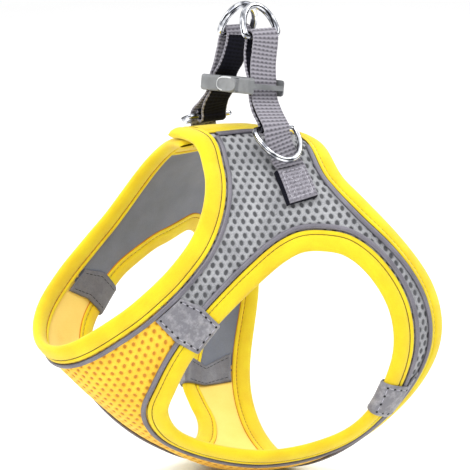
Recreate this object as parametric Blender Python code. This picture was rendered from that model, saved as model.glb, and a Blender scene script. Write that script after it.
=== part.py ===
"""Step-in dog vest harness of air mesh, filled out as it is worn, with nobody in it.

The head end points to -Y, +Z is up and +X is the wearer's left. The origin lies in the hollow of the
vest, on the wearer's middle plane under the withers. Tables are in millimetres and degrees.

The cloth follows one body form, a tube through a few rings. A place on it is (around, along):
around is an angle, 0 at the breastbone, +90 on the left flank, -90 on the right and 180 on the spine,
and along runs from 0 near the neck edge to 1 near the rear edge. Every piece is a wall, a band or a
strap laid out in those two coordinates and raised off the form by its own height.
"""
import math

import bmesh
import bpy
import numpy as np

MM = 0.001

# ---------------------------------------------------------------- driving sizes, in mm
WALL_HALF = 1.2            # half the thickness of mesh and lining together
SEAM_GAP = 0.3             # air left between neighbouring pieces
BINDING_WIDTH = 9.8        # folded binding, free edge to sewn edge
PANEL_INSET = BINDING_WIDTH + SEAM_GAP
PIPING_WIDTH = 2.4
PIPING_HEIGHT = 1.1
PIPING_END = PANEL_INSET + PIPING_WIDTH
ROW_STEP = 2.6             # first row of a panel's faces beside its border
TAB_WIDTH = 16.0           # vinyl tab, along the leg hole
TAB_THICK = 0.9
OVERLAP_LIFT = 4.9         # the left wing's end rides over the right one's
WING_END_COLUMNS = ("reach past the spine", "width of its yellow facing")
WING_END = {"left": (5.0, 14.0), "right": (3.0, 25.0)}
WEBBING_WIDTH = 14.2
WEBBING_THICK = 1.4
PATCH_THICK = 3.4          # sewn-down end of the webbing, folded double
LEASH_WIRE = 1.65          # radii of the ring wires
SIDE_WIRE = 1.35

RING_COLUMNS = ("along", "top_y", "top_z", "bottom_y", "bottom_z", "half_width", "bow")
BODY_RINGS = (
    (0.00, -37, 2, -108, -82, 37, 9),
    (0.10, -30, 3, -98, -94, 39, 9),
    (0.25, -18, 3, -81, -112, 43, 10),
    (0.50, 1, 2, -48, -139, 55, 14),
    (0.72, 17, -1, -13, -156, 71, 18),
    (0.90, 30, -4, 16, -158, 78, 21),
    (1.00, 37, -6, 31, -155, 74, 26),
)

EDGE_COLUMNS = ("around", "along")
NECK_EDGE = (
    (0, 0.00), (30, 0.00), (60, -0.01), (80, -0.01), (95, 0.01), (110, 0.05), (125, 0.08),
    (140, 0.09), (155, 0.075), (168, 0.04), (180, 0.015), (196, 0.005),
)
REAR_EDGE = (
    (0, 0.95), (14, 0.98), (30, 1.01), (50, 1.03), (75, 1.03), (95, 1.015), (110, 1.00),
    (125, 0.965), (138, 0.92), (150, 0.89), (162, 0.91), (172, 0.94), (182, 0.96), (196, 0.97),
)
LEFT_ARMHOLE = (
    (72, 0.282), (84, 0.300), (96, 0.350), (107, 0.43), (114, 0.52), (116.5, 0.61), (116, 0.68),
    (111, 0.74), (101, 0.79), (88, 0.818), (74, 0.832), (62, 0.848), (53, 0.838), (46, 0.78),
    (39, 0.70), (32, 0.60), (27.5, 0.51), (28, 0.44), (35, 0.37), (46, 0.33), (59, 0.295),
)
RIGHT_ARMHOLE = (
    (-70, 0.262), (-79, 0.275), (-86, 0.30), (-93, 0.35), (-99, 0.41), (-103, 0.48), (-107, 0.56),
    (-109, 0.63), (-107, 0.70), (-99, 0.755), (-86, 0.78), (-71, 0.775), (-58, 0.757), (-49, 0.752),
    (-40, 0.775), (-31, 0.785), (-22, 0.74), (-17, 0.65), (-16.5, 0.54), (-20, 0.44), (-30, 0.35),
    (-43, 0.285), (-57, 0.257),
)
# where the panel's corners face the leg hole: front seam, spine front, spine rear, rear seam,
# belly rear and breast front, each as a place on the leg hole's edge
ANCHOR_COLUMNS = ("around", "along")
LEFT_ANCHORS = ((72, 0.282), (113, 0.50), (116, 0.62), (68, 0.84), (42, 0.74), (31, 0.40))
RIGHT_ANCHORS = ((-71, 0.263), (-105, 0.51), (-109, 0.62), (-54, 0.753), (-27, 0.77), (-24, 0.40))
# the four vinyl tabs lie over the seams between wing and chest panel
FRONT_SEAM_AROUND = {"left": 74.0, "right": -72.0}
REAR_SEAM_AROUND = {"left": 70.0, "right": -50.0}

# ---------------------------------------------------------------- the body form


def smooth_rows(knots, rows, at):
    """Rows of a table, joined by a smooth cubic and read at any place."""
    knots = np.asarray(knots, float)
    rows = np.asarray(rows, float)
    slope = np.gradient(rows, knots, axis=0)
    i = np.clip(np.searchsorted(knots, at, side="right") - 1, 0, len(knots) - 2)
    span = knots[i + 1] - knots[i]
    t = (at - knots[i]) / span
    if rows.ndim > 1:
        span = span[..., None]
        t = t[..., None]
    return ((2 * t**3 - 3 * t**2 + 1) * rows[i] + (t**3 - 2 * t**2 + t) * span * slope[i]
            + (3 * t**2 - 2 * t**3) * rows[i + 1] + (t**3 - t**2) * span * slope[i + 1])


def form_point(around, along):
    """A point of the body form: an oval ring, bowed back at the flanks."""
    around, along = np.broadcast_arrays(np.asarray(around, float), np.asarray(along, float))
    rings = np.asarray(BODY_RINGS, float)
    row = smooth_rows(rings[:, 0], rings[:, 1:], along)
    top_y, top_z, bottom_y, bottom_z, half_width, bow = (row[..., k] for k in range(6))
    angle = np.radians(around)
    rise = (1 - np.cos(angle)) / 2
    out = np.sin(angle)
    chord = np.hypot(top_y - bottom_y, top_z - bottom_z)
    back = bow * out**4 / chord
    return np.stack([
        half_width * out,
        bottom_y + (top_y - bottom_y) * rise + back * (top_z - bottom_z),
        bottom_z + (top_z - bottom_z) * rise - back * (top_y - bottom_y),
    ], -1)


def form_frame(around, along):
    """The form's point there, its two slopes and its outward normal."""
    d_around, d_along = 0.25, 0.002
    by_around = (form_point(around + d_around, along) - form_point(around - d_around, along)) / (2 * d_around)
    by_along = (form_point(around, along + d_along) - form_point(around, along - d_along)) / (2 * d_along)
    normal = np.cross(by_along, by_around)
    normal /= np.linalg.norm(normal, axis=-1, keepdims=True)
    return form_point(around, along), by_around, by_along, normal


def overlap_lift(around):
    """Height of the left wing's end over the right wing's."""
    t = np.clip((np.asarray(around, float) - 146) / 20, 0, 1)
    return OVERLAP_LIFT * t * t * (3 - 2 * t)


def raised(place, height):
    """Points over places (around, along) of the form, at a height off the cloth's middle."""
    place = np.asarray(place, float)
    point, _, _, normal = form_frame(place[..., 0], place[..., 1])
    return point + normal * (np.asarray(height, float) + overlap_lift(place[..., 0]))[..., None]


# ---------------------------------------------------------------- lines on the form


def arc_length(places, closed=False):
    points = form_point(places[:, 0], places[:, 1])
    if closed:
        points = np.vstack([points, points[:1]])
    return np.concatenate([[0], np.cumsum(np.linalg.norm(np.diff(points, axis=0), axis=1))])


def edge_line(table, start, end, count=241):
    """An edge given as along over around, for start <= around <= end, even in length."""
    rows = np.asarray(table, float)
    around = np.linspace(start, end, count)
    along = smooth_rows(rows[:, 0], rows[:, 1], np.abs(around))
    places = np.stack([around, along], -1)
    return evenly(places, count)


def evenly(places, count, closed=False):
    """The same line with places at equal steps of length."""
    lengths = arc_length(places, closed)
    if closed:
        places = np.vstack([places, places[:1]])
    wanted = np.linspace(0, lengths[-1], count + 1 if closed else count)
    out = np.stack([np.interp(wanted, lengths, places[:, k]) for k in range(2)], -1)
    return out[:-1] if closed else out


def closed_line(table, count=240):
    """A smooth closed line through the table's places."""
    rows = np.asarray(table, float)
    n = len(rows)
    t = np.arange(n * 12) / 12
    i = t.astype(int)
    f = (t - i)[:, None]
    a, b, c, d = (rows[(i + k) % n] for k in (-1, 0, 1, 2))
    places = b + 0.5 * f * (c - a + f * (2 * a - 5 * b + 4 * c - d + f * (3 * (b - c) + d - a)))
    return evenly(places, count, closed=True)


def inset_paths(edge, closed, turn, reach=14):
    """From each place of an edge, the places 0, 1, 2 ... mm further into the cloth.

    turn is +1 where the cloth lies on the left of the edge's direction, seen from outside.
    """
    point, _, _, normal = form_frame(edge[:, 0], edge[:, 1])
    if closed:
        tangent = np.roll(point, -1, axis=0) - np.roll(point, 1, axis=0)
    else:
        tangent = np.gradient(point, axis=0)
    heading = turn * np.cross(normal, tangent)
    places = [edge]
    here = edge
    for _ in range(reach):
        _, by_around, by_along, normal = form_frame(here[:, 0], here[:, 1])
        heading = heading - normal * np.sum(heading * normal, -1, keepdims=True)
        heading /= np.linalg.norm(heading, axis=-1, keepdims=True)
        aa = np.sum(by_around * by_around, -1)
        ab = np.sum(by_around * by_along, -1)
        bb = np.sum(by_along * by_along, -1)
        ha = np.sum(heading * by_around, -1)
        hb = np.sum(heading * by_along, -1)
        det = aa * bb - ab * ab
        here = here + np.stack([(ha * bb - hb * ab) / det, (hb * aa - ha * ab) / det], -1)
        places.append(here)
    return np.stack(places, 1)


def inset(paths, depth):
    """The line at a depth into the cloth; below 0 it lies outside the edge."""
    low = int(np.clip(math.floor(depth), 0, paths.shape[1] - 2))
    part = depth - low
    return paths[:, low] * (1 - part) + paths[:, low + 1] * part


def nearest(line, place):
    """Index of the line's place nearest to a given one, in mm over the form."""
    points = form_point(line[:, 0], line[:, 1])
    target = form_point(place[0], place[1])
    return int(np.argmin(np.linalg.norm(points - target, axis=1)))


def read_line(line, at, closed=False):
    """Places of a line at fractional indices."""
    n = len(line)
    i = np.floor(at).astype(int)
    i = i % n if closed else np.clip(i, 0, n - 2)
    f = np.asarray(at % n - i)[..., None]
    return line[i] * (1 - f) + line[(i + 1) % n] * f


# ---------------------------------------------------------------- meshes


def make_object(name, points, faces, finish, origin=(0, 0, 0)):
    """One named object from points in mm; its own origin is at a given place."""
    mesh = bpy.data.meshes.new(name)
    origin = np.asarray(origin, float)
    mesh.from_pydata([tuple((np.asarray(p) - origin) * MM) for p in points], [], faces)
    bm = bmesh.new()
    bm.from_mesh(mesh)
    bmesh.ops.remove_doubles(bm, verts=bm.verts, dist=1e-6)
    bmesh.ops.recalc_face_normals(bm, faces=bm.faces)
    if bm.calc_volume(signed=True) < 0:
        bmesh.ops.reverse_faces(bm, faces=bm.faces)
    bm.to_mesh(mesh)
    bm.free()
    mesh.shade_smooth()
    mesh.set_sharp_from_angle(angle=math.radians(40))
    thing = bpy.data.objects.new(name, mesh)
    thing.location = tuple(origin * MM)
    bpy.context.scene.collection.objects.link(thing)
    mesh.materials.append(finish)
    return thing


def shell(name, upper, lower, quads, finish):
    """A closed wall: the same faces over two sets of points, with its rim closed."""
    n = len(upper)
    faces = [tuple(q) for q in quads] + [tuple(v + n for v in reversed(q)) for q in quads]
    seen = {}
    for quad in quads:
        for a, b in zip(quad, quad[1:] + quad[:1]):
            seen[(a, b)] = True
    for a, b in seen:
        if (b, a) not in seen:
            faces.append((b, a, a + n, b + n))
    return make_object(name, list(upper) + list(lower), faces, finish)


def grid_quads(rows, columns, first=0):
    """Quads of a rows x columns grid of points."""
    return [(first + r * columns + c, first + r * columns + c + 1,
             first + (r + 1) * columns + c + 1, first + (r + 1) * columns + c)
            for r in range(rows - 1) for c in range(columns - 1)]


def tube(name, rings, closed, finish, origin=(0, 0, 0)):
    """A skin through equal rings of points, joined end to end or capped."""
    count = len(rings)
    size = len(rings[0])
    faces = []
    for r in range(count if closed else count - 1):
        for k in range(size):
            faces.append((r * size + k, r * size + (k + 1) % size,
                          (r + 1) % count * size + (k + 1) % size, (r + 1) % count * size + k))
    if not closed:
        faces.append(tuple(range(size)))
        faces.append(tuple((count - 1) * size + k for k in reversed(range(size))))
    return make_object(name, [p for ring in rings for p in ring], faces, finish, origin)


def finish(name, colour, roughness=0.8, metallic=0.0):
    """A plain surface in one colour."""
    made = bpy.data.materials.new(name)
    made.use_nodes = True
    shader = made.node_tree.nodes["Principled BSDF"]
    shader.inputs["Base Color"].default_value = (*colour, 1)
    shader.inputs["Roughness"].default_value = roughness
    shader.inputs["Metallic"].default_value = metallic
    return made


# ---------------------------------------------------------------- bands along the edges

# section of the folded binding: depth from the free edge, height off the cloth's middle
BINDING_SECTION = ((0.0, 0.0), (0.5, 1.5), (2.2, 2.3), (5.6, 2.3), (BINDING_WIDTH, 1.4),
                   (BINDING_WIDTH, -1.4), (5.6, -2.3), (2.2, -2.3), (0.5, -1.5))
PIPING_FOOT = WALL_HALF + SEAM_GAP + 0.1
PIPING_SECTION = ((PANEL_INSET, PIPING_FOOT), (PANEL_INSET + 0.5, PIPING_FOOT + PIPING_HEIGHT),
                  (PIPING_END - 0.5, PIPING_FOOT + PIPING_HEIGHT), (PIPING_END, PIPING_FOOT))
PIPING_SHOWN = (-140, 163)     # it stops where the left wing covers the right one


def band(name, paths, at, section, closed, coat):
    """A band along an edge: its section at each of the given indices of the edge's inset paths."""
    lines = [raised(read_line(inset(paths, depth), at, closed), height) for depth, height in section]
    return tube(name, list(np.stack(lines, 1)), closed, coat)


# ---------------------------------------------------------------- the cloth


class Cut:
    """All edge lines of the vest, worked out once from the tables."""

    def __init__(self):
        self.end = {}
        for name, (reach, _) in WING_END.items():
            at_neck = 180 + math.degrees(reach / BODY_RINGS[0][5])
            at_rear = 180 + math.degrees(reach / BODY_RINGS[-1][5])
            self.end[name] = (at_neck, at_rear)
        self.neck = edge_line(NECK_EDGE, -self.end["right"][0], self.end["left"][0], 361)
        self.rear = edge_line(REAR_EDGE, -self.end["right"][1], self.end["left"][1], 361)
        self.neck_paths = inset_paths(self.neck, False, -1)
        self.rear_paths = inset_paths(self.rear, False, 1)
        self.arm = {"left": closed_line(LEFT_ARMHOLE), "right": closed_line(RIGHT_ARMHOLE)}
        self.arm_paths = {"left": inset_paths(self.arm["left"], True, 1),
                          "right": inset_paths(self.arm["right"], True, -1)}
        self.wing_runs = {}
        self.chest_runs = {}
        stations = {"neck": [], "rear": []}
        for side in ("left", "right"):
            self.wing_runs[side], self.chest_runs[side] = half_panel(self, side)
            stations[side] = []
            for edge, outer_at, _, _, inner_at in self.wing_runs[side] + self.chest_runs[side]:
                stations[side] += list(inner_at % len(self.arm[side]))
                if edge:
                    stations[edge] += list(outer_at)
        for edge in ("neck", "rear"):
            first, last, end = min(stations[edge]), max(stations[edge]), len(self.neck) - 1
            stations[edge] += list(np.linspace(0, first, 5)) + list(np.linspace(last, end, 5))
        self.stations = {edge: apart(at) for edge, at in stations.items()}

    def wing_end(self, side, depth, from_edge=PANEL_INSET):
        """The line at a depth from a wing's end, from its neck corner to its rear corner."""
        sign = 1 if side == "left" else -1
        corners = []
        for paths, which in ((self.neck_paths, 0), (self.rear_paths, 1)):
            line = inset(paths, from_edge)
            along = np.interp(self.end[side][which], np.sort(sign * line[:, 0]),
                              line[np.argsort(sign * line[:, 0]), 1])
            at = np.array([sign * self.end[side][which], along])
            by_around = form_frame(at[0], at[1])[1]
            at[0] -= sign * depth / np.linalg.norm(by_around)
            order = np.argsort(sign * line[:, 0])
            at[1] = np.interp(sign * at[0], sign * line[order, 0], line[order, 1])
            corners.append(at)
        return corners


def index_at(line, around):
    """Fractional index of an open line where it passes an angle around."""
    return float(np.interp(around, line[:, 0], np.arange(len(line))))


def apart(at, least=0.5):
    """Sorted indices without those that lie closer together than the least step."""
    kept = []
    for value in sorted(at):
        if not kept or value - kept[-1] >= least:
            kept.append(value)
    return np.array(kept)


def half_panel(cut, side):
    """Outer and leg-hole lines of a half vest, as matching runs between its corners.

    A run is (edge it follows or None, indices on that edge, outer places, places of the next row,
    indices on the leg hole).
    """
    sign = 1 if side == "left" else -1
    paths = {"neck": cut.neck_paths, "rear": cut.rear_paths}
    lines = {edge: inset(each, PANEL_INSET) for edge, each in paths.items()}
    arm = inset(cut.arm_paths[side], PANEL_INSET)
    depth = WING_END[side][1] + SEAM_GAP
    corner_neck, corner_rear = cut.wing_end(side, depth)
    next_neck, next_rear = cut.wing_end(side, depth + ROW_STEP)
    anchors = LEFT_ANCHORS if side == "left" else RIGHT_ANCHORS
    marks = [nearest(cut.arm[side], place) for place in anchors]
    for k in range(1, len(marks)):
        marks[k] += len(arm) * int(marks[k] < marks[k - 1])
    seam = SEAM_GAP / 2

    def edge_run(edge, start, end, inner_start, inner_end, count):
        at = np.linspace(index_at(lines[edge], start), index_at(lines[edge], end), count)
        beside = read_line(inset(paths[edge], PANEL_INSET + ROW_STEP), at)
        return edge, at, read_line(lines[edge], at), beside, np.linspace(inner_start, inner_end, count)

    def free_run(outer, beside, inner_start, inner_end):
        return None, None, outer, beside, np.linspace(inner_start, inner_end, len(outer))

    front = FRONT_SEAM_AROUND[side]
    back = REAR_SEAM_AROUND[side]
    step = sign * math.degrees(seam / 40)
    shift = seam * len(arm) / arc_length(arm, True)[-1]
    spine = np.linspace(0, 1, 7)[:, None]
    wing_runs = [
        edge_run("neck", front + step, corner_neck[0], marks[0] + shift, marks[1], 15),
        free_run(corner_neck * (1 - spine) + corner_rear * spine,
                 next_neck * (1 - spine) + next_rear * spine, marks[1], marks[2]),
        edge_run("rear", corner_rear[0], back + step, marks[2], marks[3] - shift, 19),
    ]
    belly = [read_line(lines[edge], index_at(lines[edge], 0))[1] for edge in ("rear", "neck")]
    keel = np.stack([np.zeros(13), np.linspace(belly[0], belly[1], 13)], -1)
    chest_runs = [
        edge_run("rear", back - step, 0, marks[3] + shift, marks[4], 10),
        free_run(keel, keel + (sign * 3.0, 0), marks[4], marks[5]),
        edge_run("neck", 0, front - step, marks[5], marks[0] + len(arm) - shift, 9),
    ]
    return wing_runs, chest_runs


def panel_grid(arm_paths, runs, middle_rows):
    """Places between the outer runs and the leg hole, a column at a time.

    The second and the last row but one run beside the borders; the rest is spread between them.
    """
    t = np.linspace(0, 1, middle_rows + 2)[:, None]
    columns = []
    for k, (_, _, outer, beside, inner_at) in enumerate(runs):
        inner = read_line(inset(arm_paths, PANEL_INSET), inner_at, closed=True)
        inner_beside = read_line(inset(arm_paths, PANEL_INSET + ROW_STEP), inner_at, closed=True)
        beside = beside.copy()
        if k + 1 < len(runs):
            _, _, next_outer, next_beside, _ = runs[k + 1]
            beside[-1] += next_beside[0] - next_outer[0]
        for j in range(1 if k else 0, len(outer)):
            between = beside[j] * (1 - t) + inner_beside[j] * t
            columns.append(np.vstack([outer[j:j + 1], between, inner[j:j + 1]]))
    return np.array(columns)


def build_panels(cut, mesh_grey, mesh_yellow):
    middle_rows = 2
    rows = middle_rows + 4
    chest_points = []
    chest_quads = []
    for side in ("left", "right"):
        wing = panel_grid(cut.arm_paths[side], cut.wing_runs[side], middle_rows)
        quads = grid_quads(len(wing), rows)
        flat = wing.reshape(-1, 2)
        shell("wing_" + side, raised(flat, WALL_HALF), raised(flat, -WALL_HALF), quads, mesh_grey)
        chest = panel_grid(cut.arm_paths[side], cut.chest_runs[side], middle_rows)
        quads = grid_quads(len(chest), rows, len(chest_points))
        if side == "right":
            quads = [tuple(reversed(q)) for q in quads]
        chest_quads += quads
        chest_points += list(chest.reshape(-1, 2))
    build_chest(np.array(chest_points), chest_quads, mesh_yellow)


def build_chest(places, quads, coat):
    """The chest panel: both halves joined along the breastbone into one sheet first."""
    key = {}
    which = []
    kept = []
    for place in places:
        tag = (round(place[0], 5), round(place[1], 5))
        if tag not in key:
            key[tag] = len(kept)
            kept.append(place)
        which.append(key[tag])
    joined = [tuple(which[v] for v in quad) for quad in quads]
    kept = np.array(kept)
    shell("chest_panel", raised(kept, WALL_HALF), raised(kept, -WALL_HALF), joined, coat)


def build_edges(cut, yellow, grey):
    for edge, paths in (("neck", cut.neck_paths), ("rear", cut.rear_paths)):
        at = cut.stations[edge]
        band(edge + "_binding", paths, at, BINDING_SECTION, False, yellow)
        around = read_line(paths[:, 0], at)[:, 0]
        shown = at[(around > PIPING_SHOWN[0]) & (around < PIPING_SHOWN[1])]
        band(edge + "_piping", paths, shown, PIPING_SECTION, False, grey)
    for side in ("left", "right"):
        paths = cut.arm_paths[side]
        band("armhole_binding_" + side, paths, cut.stations[side], BINDING_SECTION, True, yellow)
        band("armhole_piping_" + side, paths, cut.stations[side], PIPING_SECTION, True, grey)
        build_wing_end(cut, side, yellow, grey)


def build_wing_end(cut, side, yellow, grey):
    """The yellow facing over a wing's end, between the neck and rear bindings, and its piping."""
    wider = WING_END[side][1] - BINDING_WIDTH
    pieces = [("wing_end_binding_" + side, [(d + wider * (d > 5), h) for d, h in BINDING_SECTION], yellow)]
    if side == "left":
        pieces.append(("wing_end_piping_left", [(d + wider, h) for d, h in PIPING_SECTION], grey))
    for name, section, coat in pieces:
        lines = [cut.wing_end(side, depth, PANEL_INSET if coat is yellow else PIPING_END) for depth, _ in section]
        rings = [[raised(a * (1 - t) + b * t, height) for (a, b), (_, height) in zip(lines, section)]
                 for t in np.linspace(0.01, 0.99, 9)]
        tube(name, rings, False, coat)


# ---------------------------------------------------------------- vinyl tabs

# inner face of a tab across the strip. Beyond the leg hole's piping the first number is a share of the
# way to the outer piping; then, over the edge and back inside, a depth from the leg hole's free edge.
# The second is the height off the cloth's middle; over the cloth outside it comes from tab_height.
TAB_COLUMNS = ("share or depth", "height")
TAB_OUTSIDE = (1.0, 0.55, 0.2, 0.0)
TAB_ROUND = ((11.0, 2.95), (6.0, 2.75), (2.0, 2.7), (0.2, 2.1), (-0.5, 0.8),
             (-0.5, -0.8), (0.2, -2.1), (2.0, -2.7), (6.0, -2.75), (11.0, -2.35))
TAB_INSIDE = ((0.3, -1.75), (1.0, -1.6))
TAB_SLOPE = 3.0            # length over which a tab comes down from the leg hole's piping


def tab_height(beyond):
    """Height of a tab's inner face over the cloth, at a distance beyond the leg hole's piping."""
    return 1.6 + 1.35 * max(0.0, 1 - beyond / TAB_SLOPE) ** 2


def build_tab(cut, name, side, seam_around, outer_paths, coat):
    """A vinyl tab from the outer piping round the leg hole's edge to the inside."""
    arm_paths = cut.arm_paths[side]
    arm = arm_paths[:, 0]
    outer = inset(outer_paths, PIPING_END + SEAM_GAP)
    at_outer = index_at(outer, seam_around)
    anchors = LEFT_ANCHORS if side == "left" else RIGHT_ANCHORS
    front = outer_paths is cut.neck_paths
    at_arm = nearest(arm, anchors[0] if front else anchors[3])
    outer_step = arc_length(outer)[-1] / (len(outer) - 1)
    arm_step = arc_length(arm, True)[-1] / len(arm)
    ahead = form_point(*arm[(at_arm + 2) % len(arm)]) - form_point(*arm[at_arm])
    beside = form_point(*outer[int(at_outer) + 2]) - form_point(*outer[int(at_outer)])
    turn = 1 if ahead @ beside > 0 else -1
    upper = []
    lower = []
    samples = np.linspace(-TAB_WIDTH / 2, TAB_WIDTH / 2, 6)
    for s in samples:
        start_index = at_outer + turn * s / outer_step
        start = read_line(outer, start_index)
        upper_row, lower_row = tab_section(start, arm_paths, at_arm + s / arm_step)
        upper.append(upper_row)
        lower.append(lower_row)
    upper = np.array(upper)
    lower = np.array(lower)
    quads = grid_quads(len(samples), upper.shape[1])
    shell(name, upper.reshape(-1, 3), lower.reshape(-1, 3), quads, coat)


def tab_section(start, arm_paths, index):
    """One line across a tab: points of its outer and inner face."""
    i = int(math.floor(index))
    f = index - i
    path = arm_paths[i % len(arm_paths)] * (1 - f) + arm_paths[(i + 1) % len(arm_paths)] * f

    def at_depth(depth):
        low = int(np.clip(math.floor(depth), 0, len(path) - 2))
        part = depth - low
        return path[low] * (1 - part) + path[low + 1] * part

    edge_at = PIPING_END + SEAM_GAP
    shoulder = at_depth(edge_at)
    width = np.linalg.norm(form_point(*start) - form_point(*shoulder))
    line = [(edge_at + width * share, tab_height(width * share)) for share in TAB_OUTSIDE]
    line += TAB_ROUND
    line += [(edge_at + width * share, height) for share, height in TAB_INSIDE]
    line = np.array(line)
    tangent = np.gradient(line, axis=0)
    tangent /= np.linalg.norm(tangent, axis=1, keepdims=True)
    out = np.stack([-tangent[:, 1], tangent[:, 0]], -1)
    if out[0, 1] < 0:
        out = -out
    faces = []
    for q, h in (line.T, (line + out * TAB_THICK).T):
        row = []
        for depth, height in zip(q, h):
            if depth <= edge_at:
                place = at_depth(depth)
            else:
                t = (depth - edge_at) / max(width, 1e-6)
                place = shoulder * (1 - t) + np.asarray(start) * t
            row.append(raised(place, height))
        faces.append(row)
    return faces[1], faces[0]


def build_tabs(cut, vinyl):
    for side in ("left", "right"):
        build_tab(cut, "tab_front_" + side, side, FRONT_SEAM_AROUND[side], cut.neck_paths, vinyl)
        build_tab(cut, "tab_rear_" + side, side, REAR_SEAM_AROUND[side], cut.rear_paths, vinyl)


# ---------------------------------------------------------------- webbing

PATCH_LINE = ((134.0, 0.572), (148.0, 0.572))    # middle of the sewn-down end, going up
PATCH_FOOT = WALL_HALF + SEAM_GAP + 0.2
STRAP_COLUMNS = ("height", "middle_x", "middle_y", "half_gap")
# the two layers of a strap above the small ring, by height, on the left side
STRAP_LAYERS = (
    (11.0, 27.2, -1.3, 3.0),
    (18.0, 21.5, -0.6, 1.9),
    (23.2, 17.6, 0.2, 1.2),
    (31.0, 15.7, 0.9, 1.2),
    (37.0, 12.9, 1.9, 2.2),
    (44.0, 11.2, 3.2, 3.0),
    (48.0, 10.8, 4.0, 3.1),
)
LEASH_BAR = (10.6, 4.4, 51.4)          # straight bar of a leash ring, in the strap's top fold
SIDE_BAR = (25.6, 0.5, 10.4)          # straight bar of a small ring, in the eye at the strap's foot
STRAP_FOOT = ((32.4, 3.0, -4.6), (32.1, 2.0, -2.4), (31.6, 0.9, 0.4), (31.1, 0.0, 3.4), (30.6, -0.8, 6.8))
FOLD_RADIUS = LEASH_WIRE + 0.5 + WEBBING_THICK / 2
EYE_RADIUS = SIDE_WIRE + 0.5 + WEBBING_THICK / 2


def mirrored(point, side):
    return np.asarray(point, float) * ((1, 1, 1) if side == "left" else (-1, 1, 1))


def arc(centre, radius, start, end, steps):
    return [(centre[0] + radius * math.cos(math.radians(t)), centre[1] + radius * math.sin(math.radians(t)))
            for t in np.linspace(start, end, steps)]


def patch_rows(side):
    """Places of the sewn-down end, going up, in five columns from edge to edge."""
    sign = 1 if side == "left" else -1
    t = np.linspace(0, 1, 9)[:, None]
    first, last = (np.array([sign * around, along]) for around, along in PATCH_LINE)
    middle = first * (1 - t) + last * t
    right, left = (inset_paths(middle, False, turn, 9) for turn in (1, -1))
    half = WEBBING_WIDTH / 2
    return np.stack([inset(right, half), inset(right, half / 2), middle, inset(left, half / 2), inset(left, half)], 1)


def smooth_path(points, step=1.6):
    """A smooth open curve through points, cut into about equal steps."""
    points = np.asarray(points, float)
    chord = np.concatenate([[0], np.cumsum(np.linalg.norm(np.diff(points, axis=0), axis=1))])
    fine = smooth_rows(chord, points, np.linspace(0, chord[-1], 12 * len(points)))
    length = np.concatenate([[0], np.cumsum(np.linalg.norm(np.diff(fine, axis=0), axis=1))])
    wanted = np.linspace(0, length[-1], int(round(length[-1] / step)) + 1)
    return np.stack([np.interp(wanted, length, fine[:, k]) for k in range(3)], -1)


def strap_path(side):
    """Middle line of the webbing: off the wing, up, over the leash ring, down, round the small ring."""
    foot = patch_rows(side)[-1, 2]
    sign = 1 if side == "left" else -1
    start = raised(np.array([foot[0] + sign * 1.5, foot[1]]), PATCH_FOOT + PATCH_THICK / 2 + 0.5)
    layers = np.asarray(STRAP_LAYERS, float)
    outer = [(x + gap, y, z) for z, x, y, gap in layers]
    inner = [(x - gap, y, z) for z, x, y, gap in layers[:0:-1]]
    bar = np.asarray(LEASH_BAR)
    fold = [bar + FOLD_RADIUS * np.array([math.cos(t), 0, math.sin(t)])
            for t in np.radians((10, 50, 90, 130, 170))]
    eye_at = np.asarray(SIDE_BAR)
    eye = [eye_at + EYE_RADIUS * np.array([math.cos(t), 0, math.sin(t)])
           for t in np.radians((160, 200, 240, 280, 320, 360, 400, 430))]
    points = [mirrored(start, side)] + [np.asarray(p, float) for p in STRAP_FOOT]
    points += [np.asarray(p, float) for p in outer] + fold + [np.asarray(p, float) for p in inner] + eye
    return smooth_path([mirrored(p, side) for p in points])


def build_webbing(side, webbing):
    rows = patch_rows(side)
    flat = rows.reshape(-1, 2)
    shell("webbing_patch_" + side, raised(flat, PATCH_FOOT + PATCH_THICK), raised(flat, PATCH_FOOT),
          grid_quads(len(rows), 5), webbing)
    path = strap_path(side)
    tangent = np.gradient(path, axis=0)
    tangent /= np.linalg.norm(tangent, axis=1, keepdims=True)
    first = raised(rows[-1, 0], PATCH_FOOT) - raised(rows[-1, 4], PATCH_FOOT)
    first *= np.sign(first[1]) / np.linalg.norm(first)
    rings = []
    for k, (here, ahead) in enumerate(zip(path, tangent)):
        ease = min(1.0, k / 8)
        across = first * (1 - ease) + np.array([0, 1, 0]) * ease
        across = across - ahead * (across @ ahead) * ease
        across /= np.linalg.norm(across)
        normal = np.cross(ahead, across)
        normal /= np.linalg.norm(normal)
        a = across * WEBBING_WIDTH / 2
        n = normal * WEBBING_THICK / 2
        rings.append([here - a - n, here + a - n, here + a + n, here - a + n])
    tube("strap_" + side, rings, False, webbing)


# ---------------------------------------------------------------- rings

RING_SIDES = 8


def ring_line(half_width, height, corner=2.0):
    """Middle line of a D-ring's wire: (along the bar, away from the bar), bar on the axis."""
    line = arc((half_width - corner, corner), corner, -90, 0, 5)[:-1]
    line += [(half_width * math.cos(t), corner + (height - corner) * math.sin(t))
             for t in np.radians(np.linspace(0, 180, 17))]
    return np.array(line + arc((corner - half_width, corner), corner, 180, 270, 5)[1:])


def ring_points(bar, half_width, height, lean, side):
    """The same in space; lean is the way from the bar to the curve, from outward towards up."""
    sign = 1 if side == "left" else -1
    up = np.array([sign * math.cos(math.radians(lean)), 0, math.sin(math.radians(lean))])
    line = ring_line(half_width, height)
    return mirrored(bar, side) + line[:, :1] * np.array([0, 1, 0]) + line[:, 1:] * up, up


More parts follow.
